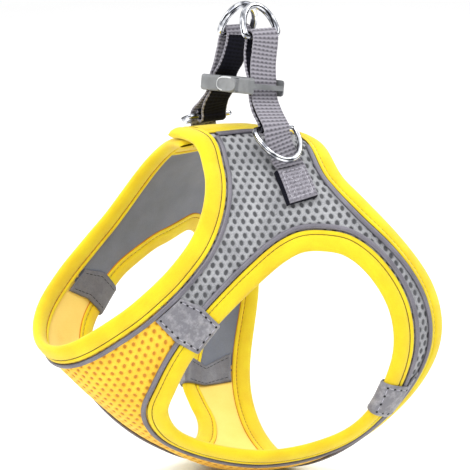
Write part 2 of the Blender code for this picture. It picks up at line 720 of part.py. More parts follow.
def build_ring(name, bar, wire, half_width, height, lean, side, chrome):
    points, up = ring_points(bar, half_width, height, lean, side)
    tangent = np.roll(points, -1, axis=0) - np.roll(points, 1, axis=0)
    tangent /= np.linalg.norm(tangent, axis=1, keepdims=True)
    flat = np.cross((0, 1, 0), up)
    rings = []
    for point, ahead in zip(points, tangent):
        radial = np.cross(ahead, flat)
        rings.append([point + wire * (math.cos(t) * radial + math.sin(t) * flat)
                      for t in np.radians(np.arange(RING_SIDES) * 360 / RING_SIDES + 22.5)])
    tube(name, rings, True, chrome, origin=mirrored(bar, side))


LEASH_RING = (9.1, 15.0, 117.0)        # half width, height and lean of the wire's middle line
SIDE_RING = (11.4, 18.0)
SIDE_RING_LEAN = {"left": -47.0, "right": -17.0}


def build_rings(side, chrome):
    half_width, height, lean = LEASH_RING
    build_ring("leash_ring_" + side, LEASH_BAR, LEASH_WIRE, half_width, height, lean, side, chrome)
    half_width, height = SIDE_RING
    build_ring("side_ring_" + side, SIDE_BAR, SIDE_WIRE, half_width, height, SIDE_RING_LEAN[side], side, chrome)


# ---------------------------------------------------------------- buckle

BUCKLE_MIDDLE = (0.0, 0.6, 27.5)
BUCKLE_TILT = 3.0                      # degrees, the left end higher
BUCKLE_NOD = 8.0                       # degrees, the rear side lower
BUCKLE_HALF_LENGTH = 21.8
BUCKLE_HALF_WIDTH = 10.0
BUCKLE_HALF_HEIGHT = 3.8
BUCKLE_CORNER = 3.0
BUCKLE_ROUNDING = 1.2
BUCKLE_BAR = (2.0, 1.2)                # end bar: size along the buckle, half height
BUCKLE_SLOT = (7.4, 8.3)               # length along the buckle, half width
PRONG = (11.0, 5.6, 2.8)               # reach of the squeeze prongs, inner half width, half height
SPLIT_AT = -5.0                        # face of the plug, where the socket's mouth begins


def rounded_prism(name, outline, half_height, coat, rounding):
    """An outline in the XY plane raised to a block with rounded edges."""
    n = len(outline)
    points = [(x, y, z) for z in (-half_height, half_height) for x, y in outline]
    faces = [tuple(reversed(range(n))), tuple(range(n, 2 * n))]
    faces += [(k, (k + 1) % n, (k + 1) % n + n, k + n) for k in range(n)]
    thing = make_object(name, points, faces, coat)
    if rounding:
        bevel = thing.modifiers.new("rounding", "BEVEL")
        bevel.width = rounding * MM
        bevel.segments = 2
        bevel.limit_method = "ANGLE"
        bevel.angle_limit = math.radians(50)
    return thing


def box_cutter(name, boxes, coat):
    """Boxes that cut a piece and aren't shown, each as its lowest and highest corner."""
    points = []
    faces = []
    for low, high in boxes:
        first = len(points)
        points += [(x, y, z) for z in (low[2], high[2]) for x, y in
                   ((low[0], low[1]), (high[0], low[1]), (high[0], high[1]), (low[0], high[1]))]
        faces += [tuple(first + v for v in face) for face in
                  ((3, 2, 1, 0), (4, 5, 6, 7), (0, 1, 5, 4), (1, 2, 6, 5), (2, 3, 7, 6), (3, 0, 4, 7))]
    cutter = make_object(name, points, faces, coat)
    cutter.hide_render = True
    cutter.display_type = "WIRE"
    return cutter


def cut_away(thing, cutter):
    cut = thing.modifiers.new(cutter.name, "BOOLEAN")
    cut.operation = "DIFFERENCE"
    cut.solver = "EXACT"
    cut.object = cutter


def end_cuts(way):
    """The webbing slot of a buckle half, and the room above and below its end bar."""
    bar, bar_half = BUCKLE_BAR
    slot, wide = BUCKLE_SLOT
    tall = BUCKLE_HALF_HEIGHT + 1
    slot_end = BUCKLE_HALF_LENGTH - bar
    x_slot = sorted((way * (slot_end - slot), way * slot_end))
    x_bar = sorted((way * (slot_end - slot / 2), way * (BUCKLE_HALF_LENGTH + 1)))
    through = [((x_slot[0], -wide, -tall), (x_slot[1], wide, tall))]
    room = [((x_bar[0], -wide, bar_half), (x_bar[1], wide, tall)),
            ((x_bar[0], -wide, -tall), (x_bar[1], wide, -bar_half))]
    return through, room


def build_buckle(plastic):
    """Side-release buckle: the plug's two prongs show in the socket's side windows."""
    length = BUCKLE_HALF_LENGTH
    width = BUCKLE_HALF_WIDTH
    corner = BUCKLE_CORNER
    reach, inner, prong_half = PRONG
    tip = (width - inner) / 2
    tall = BUCKLE_HALF_HEIGHT + 1
    gap = SEAM_GAP
    plug = (arc((corner - length, corner - width), corner, 180, 270, 5)
            + arc((reach - tip, tip - width), tip, -90, 0, 5) + arc((reach - tip, width - tip), tip, 0, 90, 5)
            + arc((corner - length, width - corner), corner, 90, 180, 5))
    mouth = SPLIT_AT + gap
    socket = ([(mouth, -width)] + arc((length - corner, corner - width), corner, -90, 0, 5)
              + arc((length - corner, width - corner), corner, 0, 90, 5) + [(mouth, width)])
    beside_prongs = [((SPLIT_AT, -width - 1, low), (reach + 1, width + 1, high))
                     for low, high in ((prong_half, tall), (-tall, -prong_half))]
    fork = [((SPLIT_AT, -inner, -tall), (reach + 1, inner, tall))]
    window = prong_half + gap
    windows = [((mouth - 1, low, -window), (reach + gap, high, window))
               for low, high in ((-width - 1, gap - inner), (inner - gap, width + 1))]
    for name, outline, way, sides in (("buckle_plug", plug, -1, (("_prongs", beside_prongs), ("_fork", fork))),
                                      ("buckle_socket", socket, 1, (("_windows", windows),))):
        half = rounded_prism(name, outline, BUCKLE_HALF_HEIGHT, plastic, BUCKLE_ROUNDING)
        through, room = end_cuts(way)
        things = [half]
        for suffix, boxes in (("_slot", through), ("_bar_room", room)) + sides:
            cutter = box_cutter(name + suffix, boxes, plastic)
            cut_away(half, cutter)
            things.append(cutter)
        for thing in things:
            thing.location = tuple(np.array(BUCKLE_MIDDLE) * MM)
            thing.rotation_euler = (-math.radians(BUCKLE_NOD), -math.radians(BUCKLE_TILT), 0)


def main():
    for thing in list(bpy.data.objects):
        bpy.data.objects.remove(thing, do_unlink=True)
    cut = Cut()
    yellow = finish("binding_yellow", (0.98, 0.80, 0.03))
    mesh_yellow = finish("mesh_yellow", (0.95, 0.62, 0.06))
    mesh_grey = finish("mesh_grey", (0.52, 0.53, 0.55))
    piping = finish("piping_grey", (0.21, 0.20, 0.23), 0.5)
    vinyl = finish("vinyl_grey", (0.30, 0.30, 0.34), 0.4)
    webbing = finish("webbing_grey", (0.26, 0.26, 0.30), 0.85)
    chrome = finish("ring_chrome", (0.75, 0.75, 0.78), 0.12, 1.0)
    plastic = finish("buckle_plastic", (0.27, 0.29, 0.29), 0.45)
    build_panels(cut, mesh_grey, mesh_yellow)
    build_edges(cut, yellow, piping)
    build_tabs(cut, vinyl)
    for side in ("left", "right"):
        build_webbing(side, webbing)
        build_rings(side, chrome)
    build_buckle(plastic)


main()
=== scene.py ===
"""Looks of the step-in dog vest harness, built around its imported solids. Tables are in millimetres and degrees."""
import math

import bmesh
import bpy
import numpy as np
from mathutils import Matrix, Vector


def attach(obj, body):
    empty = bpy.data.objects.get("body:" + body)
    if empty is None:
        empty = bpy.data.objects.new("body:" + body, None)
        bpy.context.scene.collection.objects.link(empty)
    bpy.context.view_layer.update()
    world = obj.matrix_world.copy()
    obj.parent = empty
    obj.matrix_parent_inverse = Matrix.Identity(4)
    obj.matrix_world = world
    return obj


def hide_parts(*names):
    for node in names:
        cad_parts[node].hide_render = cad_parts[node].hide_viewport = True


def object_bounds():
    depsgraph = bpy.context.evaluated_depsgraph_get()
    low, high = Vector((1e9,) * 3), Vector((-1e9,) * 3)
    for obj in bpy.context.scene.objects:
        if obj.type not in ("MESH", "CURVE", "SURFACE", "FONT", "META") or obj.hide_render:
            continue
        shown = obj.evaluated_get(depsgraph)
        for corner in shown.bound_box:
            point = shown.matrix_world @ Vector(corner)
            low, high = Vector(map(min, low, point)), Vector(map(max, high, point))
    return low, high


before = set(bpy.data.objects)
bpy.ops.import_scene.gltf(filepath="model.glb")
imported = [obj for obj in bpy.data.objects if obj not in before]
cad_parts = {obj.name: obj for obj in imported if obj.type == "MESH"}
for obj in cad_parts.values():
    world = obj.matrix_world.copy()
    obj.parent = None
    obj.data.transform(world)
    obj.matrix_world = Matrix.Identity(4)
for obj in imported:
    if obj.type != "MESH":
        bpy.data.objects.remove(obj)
CAD_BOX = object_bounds()
MM = 0.001
TARGET = Vector((0, -0.0034, -0.044))
DISTANCE, AZIMUTH, ELEVATION = 0.932, 55.0, 12.0
LENS, SENSOR = 150, 36


def make_camera():
    """The photograph's viewing angle, from the wearer's left front and a little above."""
    a, e = math.radians(AZIMUTH), math.radians(ELEVATION)
    back = Vector((math.sin(a) * math.cos(e), -math.cos(a) * math.cos(e), math.sin(e)))
    lens = bpy.data.cameras.new("photo_camera")
    lens.lens, lens.sensor_width = LENS, SENSOR
    camera = bpy.data.objects.new("photo_camera", lens)
    camera.location = TARGET + back * DISTANCE
    camera.rotation_mode = "QUATERNION"
    camera.rotation_quaternion = (-back).to_track_quat("-Z", "Y")
    bpy.context.scene.collection.objects.link(camera)
    bpy.context.scene.camera = camera


make_camera()

# ---------------------------------------------------------------- the form, as in the solids' source

SIGN = {"left": 1, "right": -1}
WALL_HALF, SEAM_GAP, BINDING_WIDTH = 1.2, 0.3, 9.8
PANEL_INSET = BINDING_WIDTH + SEAM_GAP
PIPING_WIDTH = 2.4
PIPING_END = PANEL_INSET + PIPING_WIDTH
PIPING_FOOT = WALL_HALF + SEAM_GAP + 0.1
PIPING_SHOWN = (-140, 163)             # the piping of the open edges runs between these ways round
TAB_WIDTH, TAB_THICK = 16.0, 0.9
OVERLAP_LIFT, OVERLAP_START, OVERLAP_SPAN = 4.9, 146, 20
WING_END = {"left": (5.0, 14.0), "right": (3.0, 25.0)}     # reach past the back's middle, facing's width
WEBBING_WIDTH, WEBBING_THICK, PATCH_THICK = 14.2, 1.4, 3.4
LEASH_WIRE, SIDE_WIRE = 1.65, 1.35
# rings of the body form: along, top y and z, bottom y and z, half width, bow of the flanks
BODY_RINGS = (
    (0.00, -37, 2, -108, -82, 37, 9), (0.10, -30, 3, -98, -94, 39, 9), (0.25, -18, 3, -81, -112, 43, 10),
    (0.50, 1, 2, -48, -139, 55, 14), (0.72, 17, -1, -13, -156, 71, 18), (0.90, 30, -4, 16, -158, 78, 21),
    (1.00, 37, -6, 31, -155, 74, 26),
)
# edges: around and along
NECK_EDGE = (
    (0, 0.00), (30, 0.00), (60, -0.01), (80, -0.01), (95, 0.01), (110, 0.05), (125, 0.08),
    (140, 0.09), (155, 0.075), (168, 0.04), (180, 0.015), (196, 0.005),
)
REAR_EDGE = (
    (0, 0.95), (14, 0.98), (30, 1.01), (50, 1.03), (75, 1.03), (95, 1.015), (110, 1.00),
    (125, 0.965), (138, 0.92), (150, 0.89), (162, 0.91), (172, 0.94), (182, 0.96), (196, 0.97),
)
LEFT_ARMHOLE = (
    (72, 0.282), (84, 0.300), (96, 0.350), (107, 0.43), (114, 0.52), (116.5, 0.61), (116, 0.68),
    (111, 0.74), (101, 0.79), (88, 0.818), (74, 0.832), (62, 0.848), (53, 0.838), (46, 0.78),
    (39, 0.70), (32, 0.60), (27.5, 0.51), (28, 0.44), (35, 0.37), (46, 0.33), (59, 0.295),
)
RIGHT_ARMHOLE = (
    (-70, 0.262), (-79, 0.275), (-86, 0.30), (-93, 0.35), (-99, 0.41), (-103, 0.48), (-107, 0.56),
    (-109, 0.63), (-107, 0.70), (-99, 0.755), (-86, 0.78), (-71, 0.775), (-58, 0.757), (-49, 0.752),
    (-40, 0.775), (-31, 0.785), (-22, 0.74), (-17, 0.65), (-16.5, 0.54), (-20, 0.44), (-30, 0.35),
    (-43, 0.285), (-57, 0.257),
)
ANCHORS = {
    "left": ((72, 0.282), (113, 0.50), (116, 0.62), (68, 0.84), (42, 0.74), (31, 0.40)),
    "right": ((-71, 0.263), (-105, 0.51), (-109, 0.62), (-54, 0.753), (-27, 0.77), (-24, 0.40)),
}
FRONT_ANCHOR, REAR_ANCHOR = 0, 3       # the anchors that lie at the tabs' seams
FRONT_SEAM_AROUND = {"left": 74.0, "right": -72.0}
REAR_SEAM_AROUND = {"left": 70.0, "right": -50.0}
OPEN_EDGE_PLACES, ARMHOLE_PLACES = 361, 240


def unit(vectors):
    return vectors / np.linalg.norm(vectors, axis=-1, keepdims=True)


def between(first, second, share):
    return first * (1 - share) + second * share


def eased(share):
    return share * share * (3 - 2 * share)


def lengths(points):
    """How far along a line each of its points is."""
    return np.concatenate([[0], np.cumsum(np.linalg.norm(np.diff(points, axis=0), axis=1))])


def grid_of(first, second):
    """Pairs of two rows of numbers, as a grid."""
    return np.stack(np.meshgrid(first, second, indexing="ij"), -1)


def mixed(grid, row, column):
    """Values of a grid, read between its rows and columns."""
    i = np.clip(np.floor(row).astype(int), 0, grid.shape[0] - 2)
    j = np.clip(np.floor(column).astype(int), 0, grid.shape[1] - 2)
    f, g = np.asarray(row - i)[..., None], np.asarray(column - j)[..., None]
    return between(between(grid[i, j], grid[i + 1, j], f), between(grid[i, j + 1], grid[i + 1, j + 1], f), g)


def smooth_rows(knots, rows, at):
    """Rows of a table between its knots, on a curve through all of them."""
    knots, rows = np.asarray(knots, float), np.asarray(rows, float)
    slope = np.gradient(rows, knots, axis=0)
    i = np.clip(np.searchsorted(knots, at, side="right") - 1, 0, len(knots) - 2)
    span = knots[i + 1] - knots[i]
    t = (at - knots[i]) / span
    if rows.ndim > 1:
        span, t = span[..., None], t[..., None]
    return ((2 * t**3 - 3 * t**2 + 1) * rows[i] + (t**3 - 2 * t**2 + t) * span * slope[i]
            + (3 * t**2 - 2 * t**3) * rows[i + 1] + (t**3 - t**2) * span * slope[i + 1])


def form_point(around, along):
    """A point of the body form: an oval ring, bowed back at the flanks."""
    around, along = np.broadcast_arrays(np.asarray(around, float), np.asarray(along, float))
    rings = np.asarray(BODY_RINGS, float)
    row = smooth_rows(rings[:, 0], rings[:, 1:], along)
    top_y, top_z, bottom_y, bottom_z, half_width, bow = (row[..., k] for k in range(6))
    angle = np.radians(around)
    rise, out = (1 - np.cos(angle)) / 2, np.sin(angle)
    back = bow * out**4 / np.hypot(top_y - bottom_y, top_z - bottom_z)
    return np.stack([
        half_width * out,
        bottom_y + (top_y - bottom_y) * rise + back * (top_z - bottom_z),
        bottom_z + (top_z - bottom_z) * rise - back * (top_y - bottom_y),
    ], -1)


def form_frame(around, along):
    """Point, slopes and outward normal of the form."""
    d_around, d_along = 0.25, 0.002
    by_around = (form_point(around + d_around, along) - form_point(around - d_around, along)) / (2 * d_around)
    by_along = (form_point(around, along + d_along) - form_point(around, along - d_along)) / (2 * d_along)
    return form_point(around, along), by_around, by_along, unit(np.cross(by_along, by_around))


def raised(place, height):
    """Points over places (around, along) of the form, at a height off the cloth's middle."""
    place = np.asarray(place, float)
    point, _, _, normal = form_frame(place[..., 0], place[..., 1])
    lift = OVERLAP_LIFT * eased(np.clip((place[..., 0] - OVERLAP_START) / OVERLAP_SPAN, 0, 1))
    return point + normal * (np.asarray(height, float) + lift)[..., None]


def arc_length(places, closed=False):
    points = form_point(places[:, 0], places[:, 1])
    return lengths(np.vstack([points, points[:1]]) if closed else points)


def evenly(places, count, closed=False):
    """Places the same length apart along a line."""
    far = arc_length(places, closed)
    if closed:
        places = np.vstack([places, places[:1]])
    wanted = np.linspace(0, far[-1], count + 1 if closed else count)
    out = np.stack([np.interp(wanted, far, places[:, k]) for k in range(2)], -1)
    return out[:-1] if closed else out


def edge_line(table, start, end):
    rows = np.asarray(table, float)
    around = np.linspace(start, end, OPEN_EDGE_PLACES)
    along = smooth_rows(rows[:, 0], rows[:, 1], np.abs(around))
    return evenly(np.stack([around, along], -1), OPEN_EDGE_PLACES)


def closed_line(table):
    """A round line through a table's places."""
    rows, fine = np.asarray(table, float), 12
    t = np.arange(len(rows) * fine) / fine
    i = t.astype(int)
    f = (t - i)[:, None]
    a, b, c, d = (rows[(i + k) % len(rows)] for k in (-1, 0, 1, 2))
    line = b + 0.5 * f * (c - a + f * (2 * a - 5 * b + 4 * c - d + f * (3 * (b - c) + d - a)))
    return evenly(line, ARMHOLE_PLACES, True)


def inset_paths(edge, closed, turn, reach=14):
    """From each place of an edge, the places 0, 1, 2 ... mm further into the cloth."""
    point, _, _, normal = form_frame(edge[:, 0], edge[:, 1])
    tangent = np.roll(point, -1, axis=0) - np.roll(point, 1, axis=0) if closed else np.gradient(point, axis=0)
    heading = turn * np.cross(normal, tangent)
    places, here = [edge], edge
    for _ in range(reach):
        _, by_around, by_along, normal = form_frame(here[:, 0], here[:, 1])
        heading = unit(heading - normal * np.sum(heading * normal, -1, keepdims=True))
        aa, ab, bb = (np.sum(p * q, -1) for p, q in
                      ((by_around, by_around), (by_around, by_along), (by_along, by_along)))
        ha, hb = np.sum(heading * by_around, -1), np.sum(heading * by_along, -1)
        det = aa * bb - ab * ab
        here = here + np.stack([(ha * bb - hb * ab) / det, (hb * aa - ha * ab) / det], -1)
        places.append(here)
    return np.stack(places, 1)


def inset(paths, depth):
    """The line at a depth from an edge."""
    low = int(np.clip(math.floor(depth), 0, paths.shape[1] - 2))
    return between(paths[:, low], paths[:, low + 1], depth - low)


def nearest(line, place):
    points = form_point(line[:, 0], line[:, 1])
    return int(np.argmin(np.linalg.norm(points - form_point(place[0], place[1]), axis=1)))


def read_line(line, at, closed=False):
    """A line's rows at broken indices."""
    n = len(line)
    i = np.floor(at).astype(int)
    i = i % n if closed else np.clip(i, 0, n - 2)
    f = np.asarray(at % n - i if closed else at - i)[..., None]
    return between(line[i], line[(i + 1) % n], f)


def index_at(line, around):
    return float(np.interp(around, line[:, 0], np.arange(len(line))))


ENDS = {side: [180 + math.degrees(reach / ring[5]) for ring in (BODY_RINGS[0], BODY_RINGS[-1])]
        for side, (reach, _) in WING_END.items()}
PATHS = {
    "neck": inset_paths(edge_line(NECK_EDGE, -ENDS["right"][0], ENDS["left"][0]), False, -1),
    "rear": inset_paths(edge_line(REAR_EDGE, -ENDS["right"][1], ENDS["left"][1]), False, 1),
    "left": inset_paths(closed_line(LEFT_ARMHOLE), True, 1),
    "right": inset_paths(closed_line(RIGHT_ARMHOLE), True, -1),
}


def wing_end(side, depth, from_edge):
    """Neck and rear corner of the line at a depth from a wing's end."""
    sign, corners = SIGN[side], []
    for edge, reach in zip(("neck", "rear"), ENDS[side]):
        line = inset(PATHS[edge], from_edge)
        order = np.argsort(sign * line[:, 0])
        a, b = sign * line[order, 0], line[order, 1]
        at = np.array([sign * reach, np.interp(reach, a, b)])
        at[0] -= sign * depth / np.linalg.norm(form_frame(at[0], at[1])[1])
        at[1] = np.interp(sign * at[0], a, b)
        corners.append(at)
    return corners


SEAM_LAP = (2.5, 2)       # degrees and leg hole steps that a panel reaches past its seams


def marks_of(side):
    """Indices on the leg hole of the anchors, rising."""
    arm = PATHS[side][:, 0]
    marks = [nearest(arm, place) for place in ANCHORS[side]]
    for k in range(1, len(marks)):
        marks[k] += len(arm) * int(marks[k] < marks[k - 1])
    return marks


def outline(part, depth):
    """Closed outline of a panel in places, at a depth from its edges, with its seams lapped under the tabs."""
    neck, rear = inset(PATHS["neck"], depth), inset(PATHS["rear"], depth)
    around, steps = SEAM_LAP

    def open_run(line, start, end):
        return read_line(line, np.linspace(index_at(line, start), index_at(line, end), 120))

    def armhole_run(side, start, end):
        return read_line(inset(PATHS[side], depth), np.linspace(start, end, 160), True)

    if part != "chest":
        sign, marks = SIGN[part], marks_of(part)
        corner_neck, corner_rear = wing_end(part, WING_END[part][1] - (PANEL_INSET - depth), depth)
        return np.vstack([
            open_run(neck, FRONT_SEAM_AROUND[part] - sign * around, corner_neck[0]),
            between(corner_neck, corner_rear, np.linspace(0, 1, 40)[:, None]),
            open_run(rear, corner_rear[0], REAR_SEAM_AROUND[part] - sign * around),
            armhole_run(part, marks[REAR_ANCHOR] + steps, marks[FRONT_ANCHOR] - steps),
        ])
    left, right = marks_of("left"), marks_of("right")
    return np.vstack([
        open_run(neck, FRONT_SEAM_AROUND["right"] - around, FRONT_SEAM_AROUND["left"] + around),
        armhole_run("left", left[FRONT_ANCHOR] + ARMHOLE_PLACES + steps, left[REAR_ANCHOR] - steps),
        open_run(rear, REAR_SEAM_AROUND["left"] + around, REAR_SEAM_AROUND["right"] - around),
        armhole_run("right", right[REAR_ANCHOR] - steps, right[FRONT_ANCHOR] + ARMHOLE_PLACES + steps),
    ])


def inside(polygon, points):
    """Which points lie in a closed outline."""
    x, y = points[:, 0][:, None], points[:, 1][:, None]
    x0, y0 = polygon.T
    x1, y1 = np.roll(polygon, -1, axis=0).T
    spans = (y0 > y) != (y1 > y)
    with np.errstate(divide="ignore", invalid="ignore"):
        cross = x < (x1 - x0) * (y - y0) / (y1 - y0) + x0
    return np.sum(spans & cross, axis=1) % 2 == 1


# ---------------------------------------------------------------- flat cuts

RELAX_ROUNDS, RELAX_PUSH = 1400, 1.6
SEARCH_ROUNDS, SEARCH_STEP = 14, 1.2


class Flat:
    """A patch of the form unrolled: flat millimetre positions for a grid of places, and back."""

    def __init__(self, around, along, columns=34, rows=26):
        self.start = np.array([around[0], along[0]])
        self.step = np.array([(around[1] - around[0]) / (columns - 1), (along[1] - along[0]) / (rows - 1)])
        a, b = np.meshgrid(np.linspace(*around, columns), np.linspace(*along, rows), indexing="ij")
        point = form_point(a, b)
        step_over = np.linalg.norm(np.diff(point, axis=0), axis=-1)
        over = np.concatenate([np.zeros((1, rows)), np.cumsum(step_over, 0)])
        down = lengths(point[columns // 2])
        flat = np.stack([over - over[columns // 2], np.broadcast_to(down, over.shape)], -1)
        low, high, every = slice(0, -1), slice(1, None), slice(None)
        pairs = [(first, second, np.linalg.norm(point[second] - point[first], axis=-1)) for first, second in (
            ((low, every), (high, every)), ((every, low), (every, high)),
            ((low, low), (high, high)), ((high, low), (low, high)))]
        for _ in range(RELAX_ROUNDS):
            move, count = np.zeros_like(flat), np.zeros(flat.shape[:2] + (1,))
            for first, second, rest in pairs:
                gap = flat[second] - flat[first]
                push = gap * ((1 - rest / np.linalg.norm(gap, axis=-1)) / 2)[..., None]
                move[first] += push
                move[second] -= push
                count[first] += 1
                count[second] += 1
            flat = flat + RELAX_PUSH * move / count
        self.flat = flat

    def read(self, place):
        """Flat position of places, and its slopes by grid step."""
        s = (place - self.start) / self.step
        n, m = self.flat.shape[:2]
        i = np.clip(np.floor(s[:, 0]).astype(int), 0, n - 2)
        j = np.clip(np.floor(s[:, 1]).astype(int), 0, m - 2)
        f, g = (s[:, 0] - i)[:, None], (s[:, 1] - j)[:, None]
        a, b, c, d = self.flat[i, j], self.flat[i + 1, j], self.flat[i, j + 1], self.flat[i + 1, j + 1]
        return between(between(a, b, f), between(c, d, f), g), between(b - a, d - c, g), between(c - a, d - b, f)

    def back(self, target):
        """Places whose flat positions are the targets."""
        m, flat = self.flat.shape[1], self.flat.reshape(-1, 2)
        start = []
        for chunk in np.array_split(target, max(1, len(target) // 2000)):
            near = np.argmin(((chunk[:, None] - flat[None]) ** 2).sum(-1), axis=1)
            start.append(np.stack([near // m, near % m], -1))
        s = np.vstack(start).astype(float)
        for _ in range(SEARCH_ROUNDS):
            at, by_s, by_t = self.read(self.start + s * self.step)
            miss = target - at
            det = by_s[:, 0] * by_t[:, 1] - by_s[:, 1] * by_t[:, 0]
            ds = (miss[:, 0] * by_t[:, 1] - miss[:, 1] * by_t[:, 0]) / det
            dt = (by_s[:, 0] * miss[:, 1] - by_s[:, 1] * miss[:, 0]) / det
            s = s + np.clip(np.stack([ds, dt], -1), -SEARCH_STEP, SEARCH_STEP)
        return self.start + s * self.step


# ---------------------------------------------------------------- creases, laid one by one

# around and along of both ends, half width, height
CREASES = (
    ((100, 0.13), (112, 0.34), 5.0, 0.45), ((92, 0.12), (103, 0.30), 4.0, -0.45),
    ((128, 0.66), (116, 0.90), 5.5, -0.55), ((122, 0.72), (108, 0.95), 5.0, 0.45),
    ((84, 0.93), (104, 0.86), 4.0, 0.4), ((140, 0.16), (150, 0.45), 7.0, 0.4),
    ((152, 0.55), (160, 0.82), 6.0, -0.5), ((-96, 0.14), (-104, 0.30), 4.5, 0.5),
    ((-108, 0.12), (-116, 0.36), 5.5, -0.6), ((-128, 0.18), (-132, 0.50), 7.0, 0.6),
    ((-122, 0.62), (-110, 0.88), 6.0, -0.6), ((-142, 0.30), (-150, 0.75), 7.0, -0.5),
    ((-70, 0.86), (-96, 0.86), 4.0, 0.4), ((52, 0.10), (36, 0.28), 6.0, -0.6),
    ((60, 0.14), (50, 0.24), 4.0, 0.45), ((18, 0.12), (10, 0.40), 8.0, 0.55),
    ((-10, 0.12), (-6, 0.45), 8.0, -0.5), ((-38, 0.08), (-30, 0.24), 6.0, 0.5),
    ((14, 0.45), (22, 0.80), 6.0, -0.6), ((2, 0.55), (4, 0.88), 7.0, 0.6),
    ((34, 0.80), (46, 0.94), 5.0, 0.45), ((-20, 0.82), (-36, 0.90), 6.0, 0.45),
    ((60, 0.92), (64, 0.98), 3.0, -0.3),
)
CREASE_STEPS = 14
FADE_START, FADE_SPAN = 2.5, 8         # how far from an edge a crease starts, and is full


def crease_height(place, edges):
    """Soft troughs and ridges, fading out beside the edges."""
    point = form_point(place[:, 0], place[:, 1])
    total = np.zeros(len(place))
    for first, last, half, height in CREASES:
        line = between(np.array(first), np.array(last), np.linspace(0, 1, CREASE_STEPS + 1)[:, None])
        away = np.linalg.norm(point[:, None] - form_point(line[:, 0], line[:, 1])[None], axis=-1)
        at = np.argmin(away, axis=1) / CREASE_STEPS
        taper = np.sin(np.pi * np.clip(at * 0.9 + 0.05, 0, 1)) ** 0.7
        total += height * taper * np.exp(-((away.min(axis=1) / half) ** 2))
    edge = form_point(edges[:, 0], edges[:, 1])
    far = np.concatenate([np.linalg.norm(chunk[:, None] - edge[None], axis=-1).min(axis=1)
                          for chunk in np.array_split(point, max(1, len(point) // 1500))])
    return total * eased(np.clip((far - FADE_START) / FADE_SPAN, 0, 1))


# ---------------------------------------------------------------- meshes


def add_mesh(name, points, faces, coats, which=None, uv=None, shade=None, closed=True):
    """A smooth piece from points in mm, with a material for each face. A closed skin is turned outwards."""
    mesh = bpy.data.meshes.new(name)
    mesh.from_pydata([tuple(p) for p in np.asarray(points, float) * MM], [], [tuple(f) for f in faces])
    for coat in coats:
        mesh.materials.append(COAT[coat])
    if which is not None:
        mesh.polygons.foreach_set("material_index", np.asarray(which, np.int32))
    if uv is not None:
        layer = mesh.uv_layers.new(name="cut")
        index = np.zeros(len(mesh.loops), np.int32)
        mesh.loops.foreach_get("vertex_index", index)
        layer.data.foreach_set("uv", np.asarray(uv, np.float32)[index].ravel())
    if shade is not None:
        layer = mesh.attributes.new("shade", "FLOAT", "POINT")
        layer.data.foreach_set("value", np.asarray(shade, np.float32))
    mesh.update()
    mesh.shade_smooth()
    if closed:
        bm = bmesh.new()
        bm.from_mesh(mesh)
        bmesh.ops.recalc_face_normals(bm, faces=bm.faces)
        bm.to_mesh(mesh)
        bm.free()
    thing = bpy.data.objects.new(name, mesh)
    bpy.context.scene.collection.objects.link(thing)
    return thing


def wear(thing, node, body="vest"):
    """Puts a piece on its body, in the place of its solid's look."""
    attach(thing, body)
    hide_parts(node)


def ring_quads(rows, size, wrap=False, closed=True):
    """Quads of a skin through rings of points, or through open rows, joined end to end if wrapped."""
    pairs = [(r * size, (r + 1) % rows * size) for r in range(rows if wrap else rows - 1)]
    return [(a + k, a + (k + 1) % size, b + (k + 1) % size, b + k)
            for a, b in pairs for k in range(size if closed else size - 1)]


def grid_quads(rows, size, wrap=False):
    return ring_quads(rows, size, wrap, closed=False)


def end_caps(rows, size):
    return [tuple(range(size)), tuple((rows - 1) * size + k for k in reversed(range(size)))]


def border_of(rows, columns):
    """Indices round a grid's edge."""
    return ([r * columns for r in range(rows)] + [(rows - 1) * columns + c for c in range(1, columns)]
            + [r * columns + columns - 1 for r in range(rows - 2, -1, -1)] + list(range(columns - 2, 0, -1)))


# ---------------------------------------------------------------- materials


def linear(colour):
    """Linear values of an sRGB colour in 0 to 255."""
    shares = [c / 255 for c in colour]
    return tuple(c / 12.92 if c <= 0.04045 else ((c + 0.055) / 1.055) ** 2.4 for c in shares)


